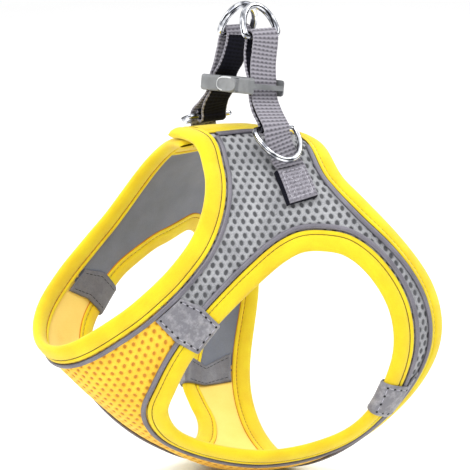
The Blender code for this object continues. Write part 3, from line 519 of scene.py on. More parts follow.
class Coat:
    """A procedural material, node by node. Sizes and depths are in mm."""

    def __init__(self, name, colour, roughness=0.85, metallic=0.0, **sockets):
        self.made = bpy.data.materials.new(name)
        self.made.use_nodes = True
        self.nodes, self.links = self.made.node_tree.nodes, self.made.node_tree.links
        self.shader = self.nodes["Principled BSDF"]
        for socket, value in dict(base_color=colour, roughness=roughness, metallic=metallic, **sockets).items():
            self.feed(self.shader.inputs[socket.replace("_", " ").title().replace("Ior", "IOR")], value)
        self.where = self.nodes.new("ShaderNodeTexCoord").outputs
        self.bumped = None

    def feed(self, socket, value):
        """Sets a socket to a number or a colour, or links another node to it."""
        if isinstance(value, (int, float)):
            socket.default_value = value
        elif isinstance(value, tuple):
            socket.default_value = (*linear(value), 1)
        else:
            self.links.new(value, socket)

    def node(self, kind, **values):
        made = self.nodes.new("ShaderNode" + kind)
        for key, value in values.items():
            if hasattr(made, key):
                setattr(made, key, value)
            else:
                self.feed(made.inputs[key.replace("_", " ").title()], value)
        return made

    def noise(self, size, detail=2, roughness=0.5):
        """Noise whose grains are about a size across."""
        return self.node("TexNoise", scale=1 / (size * MM), detail=detail, roughness=roughness,
                         vector=self.where["Object"]).outputs["Fac"]

    def cells(self, size):
        return self.node("TexVoronoi", scale=1 / (size * MM), vector=self.where["Object"]).outputs["Distance"]

    def waves(self, size, way):
        """Slightly uneven bands over the flat cut."""
        return self.node("TexWave", scale=math.pi / (10 * size), distortion=0.6, bands_direction=way,
                         vector=self.where["UV"]).outputs["Fac"]

    def attribute(self, name):
        return self.node("Attribute", attribute_name=name).outputs["Fac"]

    def product(self, a, b):
        made = self.node("Math", operation="MULTIPLY")
        self.feed(made.inputs[0], a)
        self.feed(made.inputs[1], b)
        return made.outputs[0]

    def ramp(self, factor, low, high, start=0.0, end=1.0):
        """Colour from low to high as a factor goes from start to end."""
        made = self.nodes.new("ShaderNodeValToRGB")
        for stop, position, colour in zip(made.color_ramp.elements, (start, end), (low, high)):
            stop.position, stop.color = position, (*linear(colour), 1)
        self.feed(made.inputs["Fac"], factor)
        return made.outputs["Color"]

    def mix(self, factor, a, b):
        made = self.nodes.new("ShaderNodeMix")
        made.data_type = "RGBA"
        colours = [socket for socket in made.inputs if socket.type == "RGBA"]
        for socket, value in zip([made.inputs["Factor"]] + colours, (factor, a, b)):
            self.feed(socket, value)
        return [socket for socket in made.outputs if socket.type == "RGBA"][0]

    def colour(self, value):
        self.feed(self.shader.inputs["Base Color"], value)
        return self

    def rough(self, factor, low, high):
        made = self.node("MapRange", to_min=low, to_max=high, value=factor)
        self.feed(self.shader.inputs["Roughness"], made.outputs[0])
        return self

    def bump(self, relief, depth):
        """A relief, on top of any before it."""
        made = self.node("Bump", distance=depth * MM)
        self.feed(made.inputs["Height"], relief)
        if self.bumped:
            self.feed(made.inputs["Normal"], self.bumped)
        self.bumped = made.outputs["Normal"]
        self.feed(self.shader.inputs["Normal"], self.bumped)
        return self


def knit(name, dark, light, grain, bump, sheen, rows=None):
    """Plain knitted cloth: fine loops, and slow shade changes over the piece."""
    coat = Coat(name, light, 0.88, sheen_weight=sheen, sheen_roughness=0.5)
    slow, quick = coat.noise(14, 3), coat.noise(grain)
    coat.colour(coat.mix(0.35, coat.ramp(slow, dark, light, 0.3, 0.62), coat.ramp(quick, dark, light, 0.3, 0.7)))
    coat.bump(quick, bump)
    if rows:
        coat.bump(coat.product(coat.waves(rows, "X"), coat.waves(rows * 0.8, "Y")), bump)
    return coat.made


def net(name, hole, dull, light):
    """Knitted air mesh: light threads that darken softly into the holes, a painted shade of their depths."""
    coat = Coat(name, light, 0.88, sheen_weight=0.15, sheen_roughness=0.5)
    slow, loops = coat.noise(12, 3), coat.noise(0.45)
    thread = coat.mix(0.5, coat.ramp(slow, dull, light, 0.3, 0.64), coat.ramp(loops, dull, light, 0.34, 0.62))
    # painted shade: the colour falls from the threads' colour to the hole colour as the shade attribute goes down
    # into each hole
    hole_shade = coat.ramp(coat.attribute("shade"), (255, 255, 255), (0, 0, 0), 0.1, 0.9)
    return coat.colour(coat.mix(hole_shade, thread, hole)).bump(loops, 0.14).made


def vinyl(name, low, high):
    """Worn soft vinyl: pale scuffs over a fine pebbled grain."""
    coat = Coat(name, low, 0.42)
    grain, scuff = coat.cells(0.75), coat.noise(4, 6, 0.72)
    pebbles = coat.ramp(grain, (88, 88, 94), (132, 131, 137), 0.0, 0.5)
    coat.colour(coat.mix(0.2, coat.ramp(scuff, low, high, 0.46, 0.72), pebbles))
    return coat.rough(scuff, 0.36, 0.55).bump(grain, 0.06).bump(coat.noise(2.2, 3), 0.10).made


def reflective_strip():
    coat = Coat("reflective_strip", (124, 121, 129), 0.5, 0.15)
    beads = coat.noise(0.3)
    coat.colour(coat.mix(0.4, coat.ramp(coat.noise(9), (94, 91, 100), (116, 113, 122), 0.35, 0.65),
                         coat.ramp(beads, (82, 80, 88), (134, 132, 140), 0.35, 0.65)))
    return coat.rough(beads, 0.38, 0.6).bump(beads, 0.03).made


def webbing(name, low, high, gloss):
    """Woven tape: its pits are dark, a painted shade after the relief that the mesh carries."""
    coat = Coat(name, high, 0.82, specular_ior_level=gloss, sheen_weight=0.3 * gloss, sheen_roughness=0.5)
    relief, yarn = coat.attribute("shade"), coat.noise(0.35)
    coat.colour(coat.mix(0.22, coat.ramp(relief, low, high, 0.1, 0.9), coat.ramp(yarn, low, high, 0.3, 0.7)))
    return coat.bump(yarn, 0.08).made


def chrome():
    coat = Coat("chrome", (226, 227, 232), 0.08, 1.0)
    coat.rough(coat.noise(1.5, 4), 0.05, 0.16).bump(coat.noise(3.5), 0.015)
    # painted reflection: noise streaks from dark to light grey in the base colour stand in for the studio mirrored
    # in the wire
    return coat.colour(coat.ramp(coat.noise(4.5, 1), (104, 106, 112), (214, 216, 221), 0.4, 0.6)).made


def plastic(name, low, high):
    coat = Coat(name, high, 0.42)
    speck = coat.noise(0.5, 3)
    coat.colour(coat.ramp(coat.noise(6, 3), low, high, 0.3, 0.7))
    return coat.rough(speck, 0.34, 0.5).bump(speck, 0.02).made


COAT = {
    "yellow": knit("binding_knit", (216, 180, 8), (226, 206, 14), 0.45, 0.06, 0.2, 0.55),
    # painted shade of the tape's stitched groove and sewn edges: dark brown outside, orange inside
    "groove": knit("binding_groove_shade", (66, 52, 10), (96, 74, 12), 0.4, 0.05, 0.0),
    "inner_groove": knit("binding_inner_groove_shade", (180, 110, 6), (204, 132, 8), 0.4, 0.05, 0.0),
    # the first colour of each net is the painted shade deep in its holes
    "mesh_yellow": net("mesh_yellow_net", (190, 122, 22), (234, 172, 34), (246, 204, 54)),
    "mesh_grey": net("mesh_grey_net", (74, 75, 78), (122, 123, 127), (172, 173, 176)),
    "lining_yellow": knit("lining_yellow", (240, 204, 96), (246, 216, 116), 0.6, 0.04, 0.2, 0.8),
    "lining_grey": knit("lining_grey", (97, 103, 117), (113, 119, 134), 0.6, 0.04, 0.15, 0.8),
    "thread_light": Coat("thread_light", (176, 174, 184), 0.7).made,
    # the groove's yellow thread, darkened as painted shade of the groove it lies in
    "thread_yellow_in_shade": Coat("thread_yellow_in_shade", (124, 96, 14), 0.8).made,
    "patch_thread": Coat("patch_thread", (184, 182, 190), 0.7).made,
    # near-black discs for the needle holes, painted shade in them
    "needle_hole_shade": Coat("needle_hole_shade", (22, 22, 26), 0.9).made,
    "vinyl": vinyl("vinyl", (106, 105, 112), (166, 165, 168)),
    # a darker copy of the vinyl, painted shade on the tabs' part inside the vest
    "vinyl_inside_shaded": vinyl("vinyl_inside_shaded", (82, 83, 92), (104, 105, 115)),
    "piping": reflective_strip(),
    "webbing": webbing("webbing", (52, 49, 58), (158, 155, 164), 0.5),
    "webbing_dark": webbing("webbing_dark", (4, 4, 10), (22, 22, 34), 0.1),
    "chrome": chrome(),
    "plastic": plastic("plastic", (98, 100, 102), (118, 120, 122)),
    "plastic_button": plastic("plastic_button", (104, 106, 108), (128, 130, 132)),
    # pale painted highlight along part of the squeeze face's rim
    "plastic_rim_highlight": plastic("plastic_rim_highlight", (188, 190, 192), (206, 208, 210)),
}
random = np.random.default_rng(7)

# ---------------------------------------------------------------- air mesh panels

HOLE_PITCH, ROW_PITCH = 4.2, 3.4       # staggered holes of the knitted outer layer
HOLE_HALF = (0.98, 1.30)
# rings from a hole's threads down into it: share of the way out to them, height, light, where light is a painted
# shade from the threads down into the hole
HOLE_RINGS = ((0.5, WALL_HALF - 0.03, 0.9), (0.12, WALL_HALF - 0.16, 0.6), (-0.2, WALL_HALF - 0.42, 0.05))
PANEL_TUCK = 3.0                       # how far a panel reaches under its binding
LINING_STEP = 2.0
PANELS = {
    "left": dict(around=(60, 192), along=(-0.06, 1.08), turn_at=(128, 0.3), shade="grey", node="wing_left",
                 edges=("neck", "rear", "left"), hole=1.0),
    "right": dict(around=(-192, -40), along=(-0.06, 1.08), turn_at=(-128, 0.3), shade="grey", node="wing_right",
                  edges=("neck", "rear", "right"), hole=1.0),
    "chest": dict(around=(-84, 86), along=(-0.06, 1.10), turn_at=(30, 0.15), shade="yellow", node="chest_panel",
                  edges=("neck", "rear", "left", "right"), hole=0.8),
}


def picture_level(place):
    """The way on the cloth, in places, that looks level in the photograph."""
    _, by_around, by_along, _ = form_frame(place[0], place[1])
    a, e = math.radians(AZIMUTH), math.radians(ELEVATION)
    up = np.array([-math.sin(a) * math.sin(e), math.cos(a) * math.sin(e), math.cos(e)])
    way = np.array([by_along @ up, -(by_around @ up)])
    return way / np.linalg.norm(way[0] * by_around + way[1] * by_along)


def build_net(low, high, keep, size):
    """Flat points, heights, painted shade and faces of a staggered net of rounded threads over a ground that is
    painted darker as shade.
    """
    p, r = HOLE_PITCH, ROW_PITCH
    tall, short = (p * p / 4 + r * r) / (2 * r), (r * r - p * p / 4) / (2 * r)
    corners = np.array([(0, -tall), (p / 2, -short), (p / 2, short), (0, tall), (-p / 2, short), (-p / 2, -short)])
    rim = np.stack([corners, (corners + np.roll(corners, -1, axis=0)) / 2], 1).reshape(-1, 2)
    angles = np.arctan2(rim[:, 1], rim[:, 0])
    circle, sides = np.stack([np.cos(angles), np.sin(angles)], -1), len(rim)
    rows = np.arange(math.floor(low[1] / r), math.ceil(high[1] / r) + 1)
    columns = np.arange(math.floor(low[0] / p), math.ceil(high[0] / p) + 1)
    centres = np.array([((c + 0.5 * (q % 2)) * p, q * r) for q in rows for c in columns])
    points, heights, faces, shade, keys = [], [], [], [], {}

    def shared(at):
        tag = (round(at[0], 2), round(at[1], 2))
        if tag not in keys:
            keys[tag] = len(points)
            points.append(at)
            heights.append(WALL_HALF - 0.02 + random.normal(0, 0.02))
            shade.append(1.0)
        return keys[tag]

    for centre in centres[keep(centres)]:
        rings = [[shared(centre + corner) for corner in rim]]
        hole = circle * (HOLE_HALF * (1 + random.normal(0, 0.04, 2)) * size)
        hole[:, 0] -= hole[:, 1] * random.normal(0, 0.12)
        for share, height, light in HOLE_RINGS:
            rings.append(list(range(len(points), len(points) + sides)))
            points += list(centre + between(hole, rim, share))
            heights += [height] * sides
            shade += [light] * sides
        for a, b in zip(rings, rings[1:]):
            faces += [(a[k], a[(k + 1) % sides], b[(k + 1) % sides], b[k]) for k in range(sides)]
        faces.append(tuple(rings[-1]))
    return np.array(points), np.array(heights), shade, faces


def build_lining(low, high, keep):
    """Flat points and faces of the smooth layer inside."""
    across, down = np.arange(low[0], high[0], LINING_STEP), np.arange(low[1], high[1], LINING_STEP)
    grid = grid_of(across, down).reshape(-1, 2)
    kept = keep(grid)
    quads = [q for q in grid_quads(len(across), len(down)) if all(kept[v] for v in q)]
    used = sorted({v for q in quads for v in q})
    index = {v: k for k, v in enumerate(used)}
    return grid[used], [tuple(index[v] for v in reversed(q)) for q in quads]


def build_panel(part):
    facts = PANELS[part]
    sheet = Flat(facts["around"], facts["along"])
    place = np.array([facts["turn_at"]], float)
    tip = sheet.read(place + picture_level(place[0]) * 0.5)[0][0] - sheet.read(place)[0][0]
    angle = math.atan2(tip[1], tip[0])
    turn = np.array([[math.cos(angle), math.sin(angle)], [-math.sin(angle), math.cos(angle)]])
    edge = outline(part, PANEL_INSET - PANEL_TUCK)
    flat_edge = sheet.read(edge)[0] @ turn.T
    low, high = flat_edge.min(0) - 3, flat_edge.max(0) + 3
    edges = np.vstack([inset(PATHS[name], PANEL_INSET)[::2] for name in facts["edges"]])

    def places_of(flat):
        return sheet.back(flat @ turn)

    def keep(flat):
        return inside(edge, places_of(flat))

    def laid(flat, heights):
        place = places_of(flat)
        return raised(place, heights + crease_height(place, edges))

    net_flat, heights, shade, faces = build_net(low, high, keep, facts["hole"])
    outer = add_mesh("air_mesh_" + part, laid(net_flat, heights), faces, ["mesh_" + facts["shade"]],
                     None, net_flat, shade, closed=False)
    flat, faces = build_lining(low, high, keep)
    waviness = 0.03 * np.sin(flat[:, 0] * 0.9) * np.sin(flat[:, 1] * 0.8)
    lining = add_mesh("lining_" + part, laid(flat, waviness - WALL_HALF), faces, ["lining_" + facts["shade"]],
                      None, flat, closed=False)
    for thing in (outer, lining):
        wear(thing, facts["node"])


for part in PANELS:
    build_panel(part)

# ---------------------------------------------------------------- folded bindings

# section of the folded tape: depth from the free edge, height off the cloth's middle, and yellow or groove, where
# groove faces and the sewn edges are coloured dark as painted shade
TAPE_HALF = (
    (9.78, 1.22, "g"), (9.50, 1.72, "y"), (9.20, 2.00, "y"), (8.70, 2.12, "y"), (8.05, 2.05, "y"),
    (7.62, 1.78, "g"), (7.35, 1.52, "g"), (7.08, 1.78, "y"), (6.60, 2.12, "y"), (5.60, 2.36, "y"),
    (4.30, 2.42, "y"), (3.00, 2.36, "y"), (1.90, 2.12, "y"), (1.00, 1.66, "y"), (0.38, 1.04, "y"),
    (0.06, 0.36, "y"),
)
GROOVE_DEPTH, GROOVE_HEIGHT, GROOVE_COLUMN = 7.35, 1.56, 6
STITCH_SHARES = (0.45, 1.0, 1.0, 0.45)       # thickness of a stitch along its length
PUCKER_PITCH, BEND_START, BEND_SPAN = 3.3, 0.02, 0.05


def soft_noise(count, closed, knots, seed):
    """A smooth random line from -1 to 1 along an edge."""
    values = np.random.default_rng(seed).uniform(-1, 1, knots)
    at = np.arange(count) / count * (knots if closed else knots - 1)
    i = at.astype(int)
    return between(values[i % knots], values[(i + 1) % knots], eased(at - i))


def tape_section(wider=0.0):
    """The whole section, with the yellow between fold and groove drawn out where the facing is wider."""
    upper = [(d + (wider if d > 7 else wider * d / 7 * 0.8 if d > 1.5 else 0), h, c) for d, h, c in TAPE_HALF]
    return upper + [(d, -h, c) for d, h, c in reversed(upper)]


def turned_rings(line, sections, sides):
    """Round rings of points about a line, with a radius at each of its points."""
    ahead = unit(line[-1] - line[0])
    side = unit(np.cross(ahead, (0.3, 0.5, 0.81)))
    other = np.cross(ahead, side)
    return [at + radius * (side * math.cos(t) + other * math.sin(t))
            for at, radius in zip(line, sections) for t in np.radians(np.arange(sides) * 360 / sides)]


def thread_row(line, closed, stitch, gap, radius):
    """Points and faces of a row of short stitches along a line."""
    line = np.asarray(line, float)
    if closed:
        line = np.vstack([line, line[:1]])
    length, sides = lengths(line), 6
    count = max(1, int(round(length[-1] / (stitch + gap))))
    pitch = length[-1] / count
    points, faces = [], []
    for k in range(count):
        marks = np.linspace(k * pitch + gap / 2, (k + 1) * pitch - gap / 2, len(STITCH_SHARES))
        here = np.stack([np.interp(marks, length, line[:, c]) for c in range(3)], -1)
        first = len(points)
        points += turned_rings(here, [radius * share for share in STITCH_SHARES], sides)
        skin = ring_quads(len(here), sides) + end_caps(len(here), sides)
        faces += [tuple(first + v for v in face) for face in skin]
    return points, faces


def join_rows(name, rows, coat):
    """One piece of the vest from several skins."""
    points, faces = [], []
    for more, skin in rows:
        faces += [tuple(len(points) + v for v in face) for face in skin]
        points += list(more)
    thing = add_mesh(name, points, faces, [coat])
    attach(thing, "vest")
    return thing


def finish_tape(name, lines, columns, closed, along, stitches):
    """Skin, seam and cut of a folded tape, from the lines of its section and how far along its rows are."""
    points, size = np.stack(lines, 1), len(columns)
    faces, which = grid_quads(len(points), size, closed), []
    for face in faces:
        c = face[0] % size
        # painted shade: faces in the groove and at the sewn edges take the dark brown or orange coat
        dark = columns[c][2] == columns[c + 1][2] == "g" or c in (0, size - 2)
        which.append((1 if c < size // 2 else 2) if dark else 0)
    across = lengths(np.array([column[:2] for column in columns]))
    thing = add_mesh(name + "_tape", points.reshape(-1, 3), faces, ["yellow", "groove", "inner_groove"], which,
                     grid_of(along, across).reshape(-1, 2), closed=False)
    wear(thing, name)
    seam = join_rows(name + "_stitches", stitches, "thread_yellow_in_shade")


def build_binding(name, edge, closed, seed):
    """The tape folded over an edge, with its stitched groove, ridge and a few puckers at tight bends."""
    paths = PATHS[edge]
    count = len(paths)
    index = np.arange(count)
    point = form_point(paths[:, 0, 0], paths[:, 0, 1])
    before, after = (point[(index + k) % count if closed else np.clip(index + k, 0, count - 1)] for k in (-3, 3))
    chord = np.maximum(np.linalg.norm(after - before, axis=1), 1)
    bend = 4 * np.linalg.norm(before + after - 2 * point, axis=1) / chord**2
    length = arc_length(paths[:, 0], closed)[:count]
    phase = length * 2 * math.pi / PUCKER_PITCH + 3 * soft_noise(count, closed, count // 12, seed)
    pucker = np.clip((bend - BEND_START) / BEND_SPAN, 0, 1) * np.sin(phase)
    swell = 0.035 * soft_noise(count, closed, max(8, count // 22), seed + 1)
    near_end = np.clip(np.minimum(length, length[-1] - length) / 2.2, 0.02, 1)
    end = 1.0 if closed else np.sqrt(near_end * (2 - near_end))

    def line_at(depth, height):
        return raised(read_line(inset(paths, depth), index, closed), height)

    lines, columns = [], tape_section()
    for depth, height, _ in columns:
        crown = math.exp(-((depth - 4.3) / 3) ** 2)
        inner = math.exp(-((depth - 6.6) / 1.2) ** 2)
        lines.append(line_at(depth, height * (1 + swell * crown + 0.045 * pucker * inner) * end))
    stitches = [thread_row(line_at(GROOVE_DEPTH, height), closed, 1.7, 0.9, 0.15)
                for height in (GROOVE_HEIGHT, -GROOVE_HEIGHT)]
    finish_tape(name, lines, columns, closed, length, stitches)


def build_wing_end(side):
    """The yellow facing over a wing's end, between the neck and rear bindings."""
    columns, rows = tape_section(WING_END[side][1] - BINDING_WIDTH), 60
    t = np.linspace(-0.01, 1.01, rows)[:, None]
    lines = []
    for depth, height, _ in columns:
        place = between(*wing_end(side, depth, PANEL_INSET - 1.0), t)
        lines.append(raised(place, height * (1 + 0.03 * np.sin(t[:, 0] * 17 + depth))))
    middle = lines[len(columns) // 2]
    span = np.linalg.norm(middle[-1] - middle[0])
    stitches = [thread_row(lines[k][2:-2], False, 2.3, 0.7, 0.2)
                for k in (GROOVE_COLUMN, len(columns) - 1 - GROOVE_COLUMN)]
    finish_tape("wing_end_binding_" + side, lines, columns, False, t[:, 0] * span, stitches)


build_binding("neck_binding", "neck", False, 11)
build_binding("rear_binding", "rear", False, 12)
build_binding("armhole_binding_left", "left", True, 13)
build_binding("armhole_binding_right", "right", True, 14)
for side in SIGN:
    build_wing_end(side)

# ---------------------------------------------------------------- piping

# section of the piping: depth past the binding, height off its foot
PIPE = (
    (0.02, 0.0), (0.05, 0.55), (0.30, 0.92), (0.80, 1.08), (1.40, 1.10), (1.95, 0.95), (2.30, 0.60), (2.38, 0.0),
    (1.20, -0.02),
)


def build_piping(name, line_at, closed):
    points = np.stack([line_at(PANEL_INSET + d, PIPING_FOOT + h) for d, h in PIPE], 1)
    rows, size = points.shape[:2]
    faces = ring_quads(rows, size, closed) + ([] if closed else end_caps(rows, size))
    wear(add_mesh(name + "_strip", points.reshape(-1, 3), faces, ["piping"]), name)


def build_edge_piping(edge, name, closed):
    paths = PATHS[edge]
    index = np.arange(len(paths), dtype=float)
    if not closed:
        index = index[(paths[:, 0, 0] > PIPING_SHOWN[0]) & (paths[:, 0, 0] < PIPING_SHOWN[1])]

    def line_at(depth, height):
        return raised(read_line(inset(paths, depth), index, closed), height)

    build_piping(name, line_at, closed)


def wing_end_line(depth, height):
    corners = wing_end("left", depth + WING_END["left"][1] - BINDING_WIDTH, PIPING_END)
    return raised(between(*corners, np.linspace(0.01, 0.99, 50)[:, None]), height)


build_edge_piping("neck", "neck_piping", False)
build_edge_piping("rear", "rear_piping", False)
build_edge_piping("left", "armhole_piping_left", True)
build_edge_piping("right", "armhole_piping_right", True)
build_piping("wing_end_piping_left", wing_end_line, False)

# ---------------------------------------------------------------- vinyl tabs

SHOULDER = PIPING_END + SEAM_GAP       # a tab lies on the panel from here on
TAB_INNER_REACH = 2.6                  # a tab's inside end goes on to the edge binding
# the tab's inner face over piping and binding, round the edge and back inside: depth, height
TAB_TURN = (
    (11.0, 2.95), (6.0, 2.75), (2.0, 2.7), (0.2, 2.1), (-0.5, 0.8), (-0.5, -0.8), (0.2, -2.1), (2.0, -2.7),
    (6.0, -2.75), (11.0, -2.35),
)
TAB_LINES, TAB_STEPS = 17, 64
TAB_MIDDLE = TAB_STEPS // 2            # where a tab's outside ends, by the leg hole
NEEDLE_ROW, INNER_ROW = 6.3, 5.6       # how far the rows of holes and the inside seams are from the middle
NEEDLE_PITCH, NEEDLE_RADIUS, NEEDLE_SINK = 3.8, 0.62, 0.3


def tab_face(start, path):
    """Line along a tab's inner face, from its outside end round the leg hole's edge to its inside end."""
    shoulder = inset(path[None], SHOULDER)[0]
    width = np.linalg.norm(form_point(*start) - form_point(*shoulder))
    line = [(SHOULDER + width * share, 1.6 + 1.35 * max(0.0, 1 - width * share / 3) ** 2)
            for share in (1.0, 0.55, 0.2, 0.0)]
    line += [*TAB_TURN, (SHOULDER + width * 0.3, -1.75), (SHOULDER + width, -1.6),
             (SHOULDER + width + TAB_INNER_REACH, -1.6)]
    line = np.array(line)
    knots = lengths(line)
    depths, heights = (np.interp(np.linspace(0, knots[-1], TAB_STEPS), knots, line[:, k]) for k in range(2))
    for _ in range(2):
        for values in (depths, heights):
            values[1:-1] = np.convolve(values, (0.25, 0.5, 0.25), "valid")
    places = [inset(path[None], depth)[0] if depth <= SHOULDER
              else between(shoulder, np.asarray(start), (depth - SHOULDER) / max(width, 1e-6)) for depth in depths]
    return raised(np.array(places), heights)


def tab_faces(side, seam_around, edge):
    """Inner and outer face of a tab as grids of points, and their normals."""
    arm_paths = PATHS[side]
    arm, outer = arm_paths[:, 0], inset(PATHS[edge], SHOULDER)
    at_outer = index_at(outer, seam_around)
    at_arm = nearest(arm, ANCHORS[side][FRONT_ANCHOR if edge == "neck" else REAR_ANCHOR])
    outer_step = arc_length(outer)[-1] / (len(outer) - 1)
    arm_step = arc_length(arm, True)[-1] / len(arm)
    ahead = form_point(*arm[(at_arm + 2) % len(arm)]) - form_point(*arm[at_arm])
    beside = form_point(*outer[int(at_outer) + 2]) - form_point(*outer[int(at_outer)])
    turn = 1 if ahead @ beside > 0 else -1
    samples = np.linspace(-TAB_WIDTH / 2, TAB_WIDTH / 2, TAB_LINES)
    face = np.array([tab_face(read_line(outer, np.array(at_outer + turn * s / outer_step)),
                              read_line(arm_paths, np.array(at_arm + s / arm_step), True)) for s in samples])
    normal = unit(np.cross(np.gradient(face, axis=0), np.gradient(face, axis=1)))
    out = form_frame(*read_line(outer, np.array(at_outer)))[3]
    if normal[TAB_LINES // 2, 4] @ out < 0:
        normal = -normal
    s, q = samples[:, None] / (TAB_WIDTH / 2), np.linspace(0, 1, TAB_STEPS)[None]
    rounding = np.clip((1 - np.abs(s)) / 0.08, 0, 1)
    thick = TAB_THICK * (0.45 + 0.5 * np.sqrt(rounding * (2 - rounding)))
    seam_dip = 0.16 * np.exp(-((np.abs(samples[:, None]) - NEEDLE_ROW) / 0.6) ** 2)
    puff = 0.05 * np.sin(q * 31 + 1.7 * s) * (1 - s * s)
    return face, face + normal * (thick - seam_dip + puff)[..., None], normal


def disc(centre, normal):
    skin = turned_rings([centre - normal * NEEDLE_SINK, centre], [NEEDLE_RADIUS] * 2, 8)
    return skin, ring_quads(2, 8) + end_caps(2, 8)


def build_tab(name, side, seam_around, edge):
    face, outer_face, normal = tab_faces(side, seam_around, edge)
    n, m = face.shape[:2]
    quads, border = grid_quads(n, m), border_of(n, m)
    faces = quads + [tuple(v + n * m for v in reversed(q)) for q in quads]
    faces += [(a, b, b + n * m, a + n * m) for a, b in zip(border, border[1:] + border[:1])]
    # painted shade: faces past the leg hole's edge, inside the vest, take the darker copy of the vinyl
    which = [1 if min(v % (n * m) % m for v in f) >= TAB_MIDDLE else 0 for f in faces]
    points = np.concatenate([outer_face.reshape(-1, 3), face.reshape(-1, 3)])
    thing = add_mesh(name + "_vinyl", points, faces, ["vinyl", "vinyl_inside_shaded"], which)
    wear(thing, name)
    length = lengths(outer_face[n // 2])

    def at(beside, along, lift):
        """A point over the tab's outer face, and its normal there."""
        row = (beside + TAB_WIDTH / 2) / TAB_WIDTH * (n - 1)
        column = np.interp(along, length, np.arange(m))
        out = mixed(normal, row, column)
        return mixed(outer_face, row, column) + out * lift, out

    # needle holes and thread, along both long edges outside and across the end by the leg hole; the holes are
    # near-black discs, painted shade in them
    edge_at = length[TAB_MIDDLE]
    run_end = edge_at - 6.5
    count = max(2, int(round((run_end - 1.5) / NEEDLE_PITCH)) + 1)
    runs = [[(beside, along) for along in np.linspace(1.5, run_end, count)]
            for beside in (-NEEDLE_ROW, NEEDLE_ROW)]
    runs.append([(beside, run_end) for beside in np.linspace(-NEEDLE_ROW, NEEDLE_ROW, 4)])
    holes = [disc(*at(*spot, 0.03)) for spots in runs for spot in spots]
    lifts = (0.2, 0.02), (0.5, 0.1), (0.8, 0.02)       # share of the way to the next hole, height
    rows = [thread_row([at(*between(a, b, share), lift)[0] for share, lift in lifts], False, 2.6, 0.1, 0.17)
            for spots in map(np.array, runs) for a, b in zip(spots, spots[1:])]
    # the inside seams take the same near-black coat, painted shade inside the vest
    for beside in (-INNER_ROW, INNER_ROW):
        seam = [at(beside, along, 0.02)[0] for along in np.linspace(edge_at + 3, length[-1] - 1.5, 24)]
        holes.append(thread_row(seam, False, 2.0, 0.5, 0.17))
    thread = join_rows(name + "_thread", rows, "thread_light")
    discs = join_rows(name + "_needle_holes", holes, "needle_hole_shade")


for side in SIGN:
    build_tab("tab_front_" + side, side, FRONT_SEAM_AROUND[side], "neck")
    build_tab("tab_rear_" + side, side, REAR_SEAM_AROUND[side], "rear")

# ---------------------------------------------------------------- webbing

PATCH_LINE = ((134.0, 0.572), (148.0, 0.572))
PATCH_FOOT = WALL_HALF + SEAM_GAP + 0.2
PATCH_TOP = PATCH_FOOT + PATCH_THICK
# rings of the patch's dark sides, near black partly as painted shade: height, and how far its nearer side spreads
PATCH_SIDES = ((2.75, 0.0), (2.5, 0.4), (2.1, 0.8), (1.7, 0.9), (1.2, 1.0), (0.6, 1.0), (0.0, 0.9))
PATCH_SPREAD = 0.15
SEAM_U, SEAM_V = WEBBING_WIDTH / 2 - 1.7, 1.9      # the box of stitches, from the middle and from the ends
# riser: height, middle across and along the back, half the gap between its layers
STRAP_LAYERS = (
    (11.0, 27.2, -1.3, 3.0), (18.0, 21.5, -0.6, 1.9), (23.2, 17.6, 0.2, 1.2), (31.0, 15.7, 0.9, 1.2),
    (37.0, 12.9, 1.9, 2.2), (44.0, 11.2, 3.2, 3.0), (48.0, 10.8, 4.0, 3.1),
)
STRAP_FOOT = ((32.4, 3.0, -4.6), (32.1, 2.0, -2.4), (31.6, 0.9, 0.4), (31.1, 0.0, 3.4), (30.6, -0.8, 6.8))
STRAP_STEP, STRAP_START, STRAP_TWIST = 0.37, 4, 12.8     # a strap starts some steps back, inside its patch
PINCH_AT, PINCH_DEPTH = 43.2, 0.3                        # where the riser's layers are stitched together
LEASH_BAR, SIDE_BAR = (10.6, 4.4, 51.4), (25.6, 0.5, 10.4)
FOLD_RADIUS = LEASH_WIRE + 0.5 + WEBBING_THICK / 2
EYE_RADIUS = SIDE_WIRE + 0.5 + WEBBING_THICK / 2
YARN_ACROSS, YARN_ALONG, RELIEF = WEBBING_WIDTH / 6, 1.9, 0.22
WEB_LINES = 37
ACROSS = np.linspace(-WEBBING_WIDTH / 2, WEBBING_WIDTH / 2, WEB_LINES)


def mirrored(point, side):
    return np.asarray(point, float) * (SIGN[side], 1, 1)


def patch_rows(side):
    """Places of the patch: nine rows along it, five across."""
    first, last = (np.array([SIGN[side] * around, along]) for around, along in PATCH_LINE)
    middle = between(first, last, np.linspace(0, 1, 9)[:, None])
    right, left = (inset_paths(middle, False, way, 9) for way in (1, -1))
    half = WEBBING_WIDTH / 2
    return np.stack([inset(right, half), inset(right, half / 2), middle,
                     inset(left, half / 2), inset(left, half)], 1)


def round_bar(bar, radius, degrees):
    return [np.asarray(bar) + radius * np.array([math.cos(t), 0, math.sin(t)]) for t in np.radians(degrees)]


